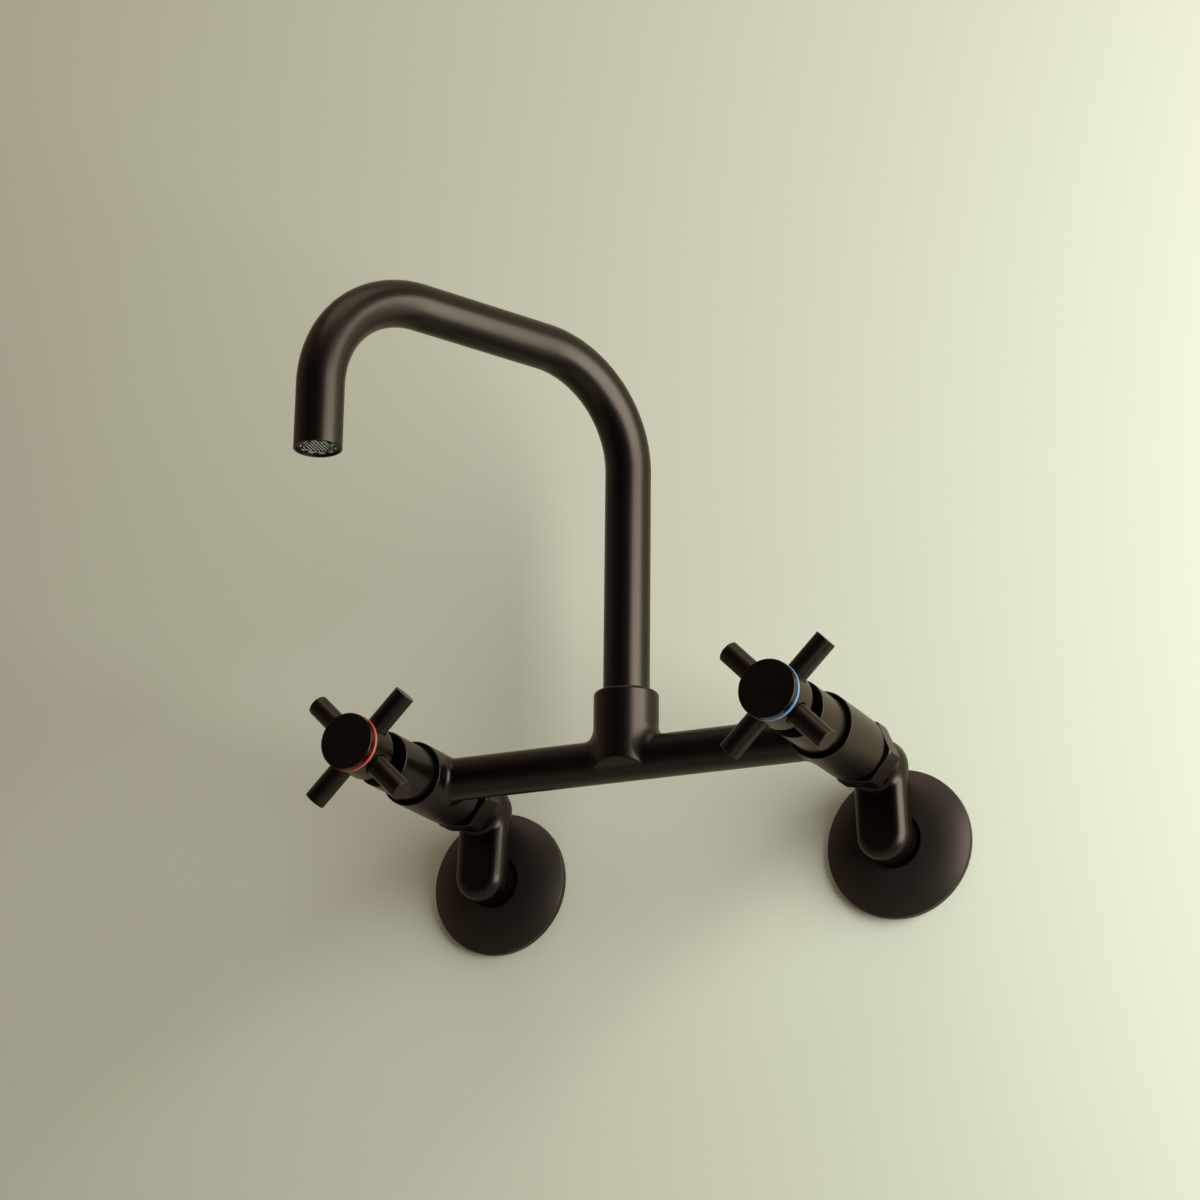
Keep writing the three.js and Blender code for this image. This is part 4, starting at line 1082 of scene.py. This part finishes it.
def aerator_screen():
    """Thick wires in front of thin ones that cross them, with a disc behind both. Its finish has painted
    shade on the thin wires and the disc.
    """
    low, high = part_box("aerator_screen")
    radius = (high.x - low.x) / 2
    bottom = low.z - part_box("aerator_insert")[0].z + OUTLET_RECESS
    top = bottom + high.z - low.z
    disc = top - SHARP
    surface = lathe([(0, disc), (radius, disc, SHARP / 4), (radius, top, SHARP / 4), (0, top)])
    front = bottom + FRONT_WIRE + WIRE_BEND
    back = front + FRONT_WIRE + BACK_WIRE
    count = int(radius / WIRE_PITCH)
    for size, height, turn in ((FRONT_WIRE, front, WIRE_TURN), (BACK_WIRE, back, WIRE_TURN + math.pi / 2)):
        for line in range(-count, count + 1):
            offset = line * WIRE_PITCH
            half = math.sqrt(max(radius ** 2 - offset ** 2, 0)) - size
            if half > WIRE_PITCH:
                strand = wire(size, half, offset, height, math.pi * line)
                surface.merge(strand.moved(Matrix.Rotation(turn, 4, "Z")))
    piece("aerator_screen_woven", surface.moved(outlet_place()), "spout", "steel", "aerator_screen",
          finish="screen_steel_painted_shade")


# ---------------------------------------------------------------- stage, light and camera

WALL_TONE = (0.87, 0.88, 0.765, 1)
# Painted shade: the lower wall and the floor are darker than the wall, for dimmer light below the faucet
FLOOR_PAINTED_SHADE_TONE = (0.62, 0.61, 0.54, 1)
TONE_CHANGE = (-0.55, -0.2)  # heights between which one becomes the other
FLOOR_HEIGHT = -1.2
STAGE_REACH = 3.0
FLOOR_REACH = 1.1
COVE_RADIUS = 0.25
COVE_STEPS = 12
WALL_GAP = 0.0004  # between the faucet's back and the wall


def stage():
    """A pale wall that curves into a pale floor, seen from in front only. Its lower part and the floor are
    painted darker, as painted shade.
    """
    profile = [(0.0, STAGE_REACH)]
    for step in range(COVE_STEPS + 1):
        angle = math.pi / 2 * step / COVE_STEPS
        out = COVE_RADIUS * (1 - math.cos(angle))
        profile.append((-out, FLOOR_HEIGHT + COVE_RADIUS * (1 - math.sin(angle))))
    profile.append((-FLOOR_REACH, FLOOR_HEIGHT))
    points = [(x, y + WALL_GAP, z) for y, z in profile for x in (-STAGE_REACH, STAGE_REACH)]
    faces = [(2 * i, 2 * i + 2, 2 * i + 3, 2 * i + 1) for i in range(len(profile) - 1)]
    mesh = bpy.data.meshes.new("studio_wall")
    mesh.from_pydata(points, [], faces)
    mesh.polygons.foreach_set("use_smooth", [True] * len(faces))
    wall = bpy.data.objects.new("studio_wall", mesh)
    bpy.context.scene.collection.objects.link(wall)
    made = bpy.data.materials.new("studio_wall")
    made.use_nodes = True
    tree = made.node_tree
    shader = tree.nodes["Principled BSDF"]
    where = linked(tree, "ShaderNodeTexCoord").outputs["Object"]
    height = linked(tree, "ShaderNodeSeparateXYZ", {"Vector": where}).outputs["Z"]
    # Painted shade, darker towards the floor
    share = linked(tree, "ShaderNodeMapRange", {
        "Value": height, "From Min": TONE_CHANGE[0], "From Max": TONE_CHANGE[1]},
        interpolation_type="SMOOTHSTEP")
    tone = linked(tree, "ShaderNodeMix", {"Factor": share.outputs["Result"]}, data_type="RGBA")
    tone.inputs["A"].default_value = FLOOR_PAINTED_SHADE_TONE
    tone.inputs["B"].default_value = WALL_TONE
    tree.links.new(tone.outputs["Result"], shader.inputs["Base Color"])
    shader.inputs["Roughness"].default_value = 0.9
    shader.inputs["Specular IOR Level"].default_value = 0.1
    clear = linked(tree, "ShaderNodeBsdfTransparent")
    behind = linked(tree, "ShaderNodeNewGeometry").outputs["Backfacing"]
    mixed = linked(tree, "ShaderNodeMixShader", {"Fac": behind, 1: shader.outputs[0], 2: clear.outputs[0]})
    tree.links.new(mixed.outputs[0], tree.nodes["Material Output"].inputs["Surface"])
    mesh.materials.append(made)


def softbox(name, place, target, size, watts, colour):
    light = bpy.data.lights.new(name, "AREA")
    light.shape = "RECTANGLE"
    light.size, light.size_y = size
    light.energy = watts
    light.color = colour
    box = bpy.data.objects.new(name, light)
    box.location = place
    box.rotation_euler = (Vector(target) - Vector(place)).to_track_quat("-Z", "Y").to_euler()
    bpy.context.scene.collection.objects.link(box)


ROOM_TONE = (1.0, 0.77, 0.58, 1)
ROOM_FRONT, ROOM_SIDE = 0.05, 0.36  # strengths straight in front of the wall and beside it
ROOM_CHANGE = (-0.9, -0.2)  # y parts of the directions between which one becomes the other


def world():
    """A room that is darker in front of the wall than beside it, the same for every ray."""
    made = bpy.data.worlds.new("studio")
    bpy.context.scene.world = made
    made.use_nodes = True
    tree = made.node_tree
    room = tree.nodes["Background"]
    direction = linked(tree, "ShaderNodeTexCoord").outputs["Generated"]
    parts = linked(tree, "ShaderNodeSeparateXYZ", {"Vector": direction}).outputs
    side = linked(tree, "ShaderNodeMapRange", {
        "Value": parts["Y"], "From Min": ROOM_CHANGE[0], "From Max": ROOM_CHANGE[1],
        "To Min": ROOM_FRONT, "To Max": ROOM_SIDE})
    room.inputs["Color"].default_value = ROOM_TONE
    tree.links.new(side.outputs["Result"], room.inputs["Strength"])


def lights():
    """Place, target, size, watts and colour of each."""
    softbox("key", (0.88, -0.47, 0.10), (0, -0.47, 0.10), (0.92, 1.0), 18, (0.95, 1.0, 0.93))
    softbox("top", (0.15, -0.55, 1.45), (0, -0.1, 0.05), (1.2, 0.8), 4, (1.0, 0.93, 0.8))


CAMERA_PLACE = (0.588, -1.331, -0.354)
CAMERA_LENS = 94.59
CAMERA_YAW, CAMERA_PITCH, CAMERA_ROLL = (math.radians(a) for a in (25.669, 18.482, 0.629))


def camera():
    """Below and to the right of the faucet, looking up."""
    lens = bpy.data.cameras.new("camera")
    lens.lens, lens.sensor_width = CAMERA_LENS, 36
    lens.clip_start, lens.clip_end = 0.01, 50
    eye = bpy.data.objects.new("camera", lens)
    bpy.context.scene.collection.objects.link(eye)
    ahead = Vector((
        -math.sin(CAMERA_YAW) * math.cos(CAMERA_PITCH),
        math.cos(CAMERA_YAW) * math.cos(CAMERA_PITCH),
        math.sin(CAMERA_PITCH),
    ))
    level = Vector((math.cos(CAMERA_YAW), math.sin(CAMERA_YAW), 0))
    upright = level.cross(ahead)
    right = level * math.cos(CAMERA_ROLL) + upright * math.sin(CAMERA_ROLL)
    above = upright * math.cos(CAMERA_ROLL) - level * math.sin(CAMERA_ROLL)
    turn = Matrix((right, above, -ahead)).transposed().to_4x4()
    eye.matrix_world = Matrix.Translation(CAMERA_PLACE) @ turn
    bpy.context.scene.camera = eye


# ---------------------------------------------------------------- the faucet

camera()
stage()
world()
lights()
finish_cad_nodes()
bridge_body()
spout_tube()
outlet_bush()
aerator_insert()
aerator_screen()
for prefix, side, ring_slot in SIDES:
    wall_flange(prefix, side)
    swing_arm(prefix, side)
    union_nut(prefix, side)
    bonnet_sleeve(prefix, side)
    handle(prefix, side, ring_slot)

bpy.context.scene.view_settings.view_transform = "Standard"
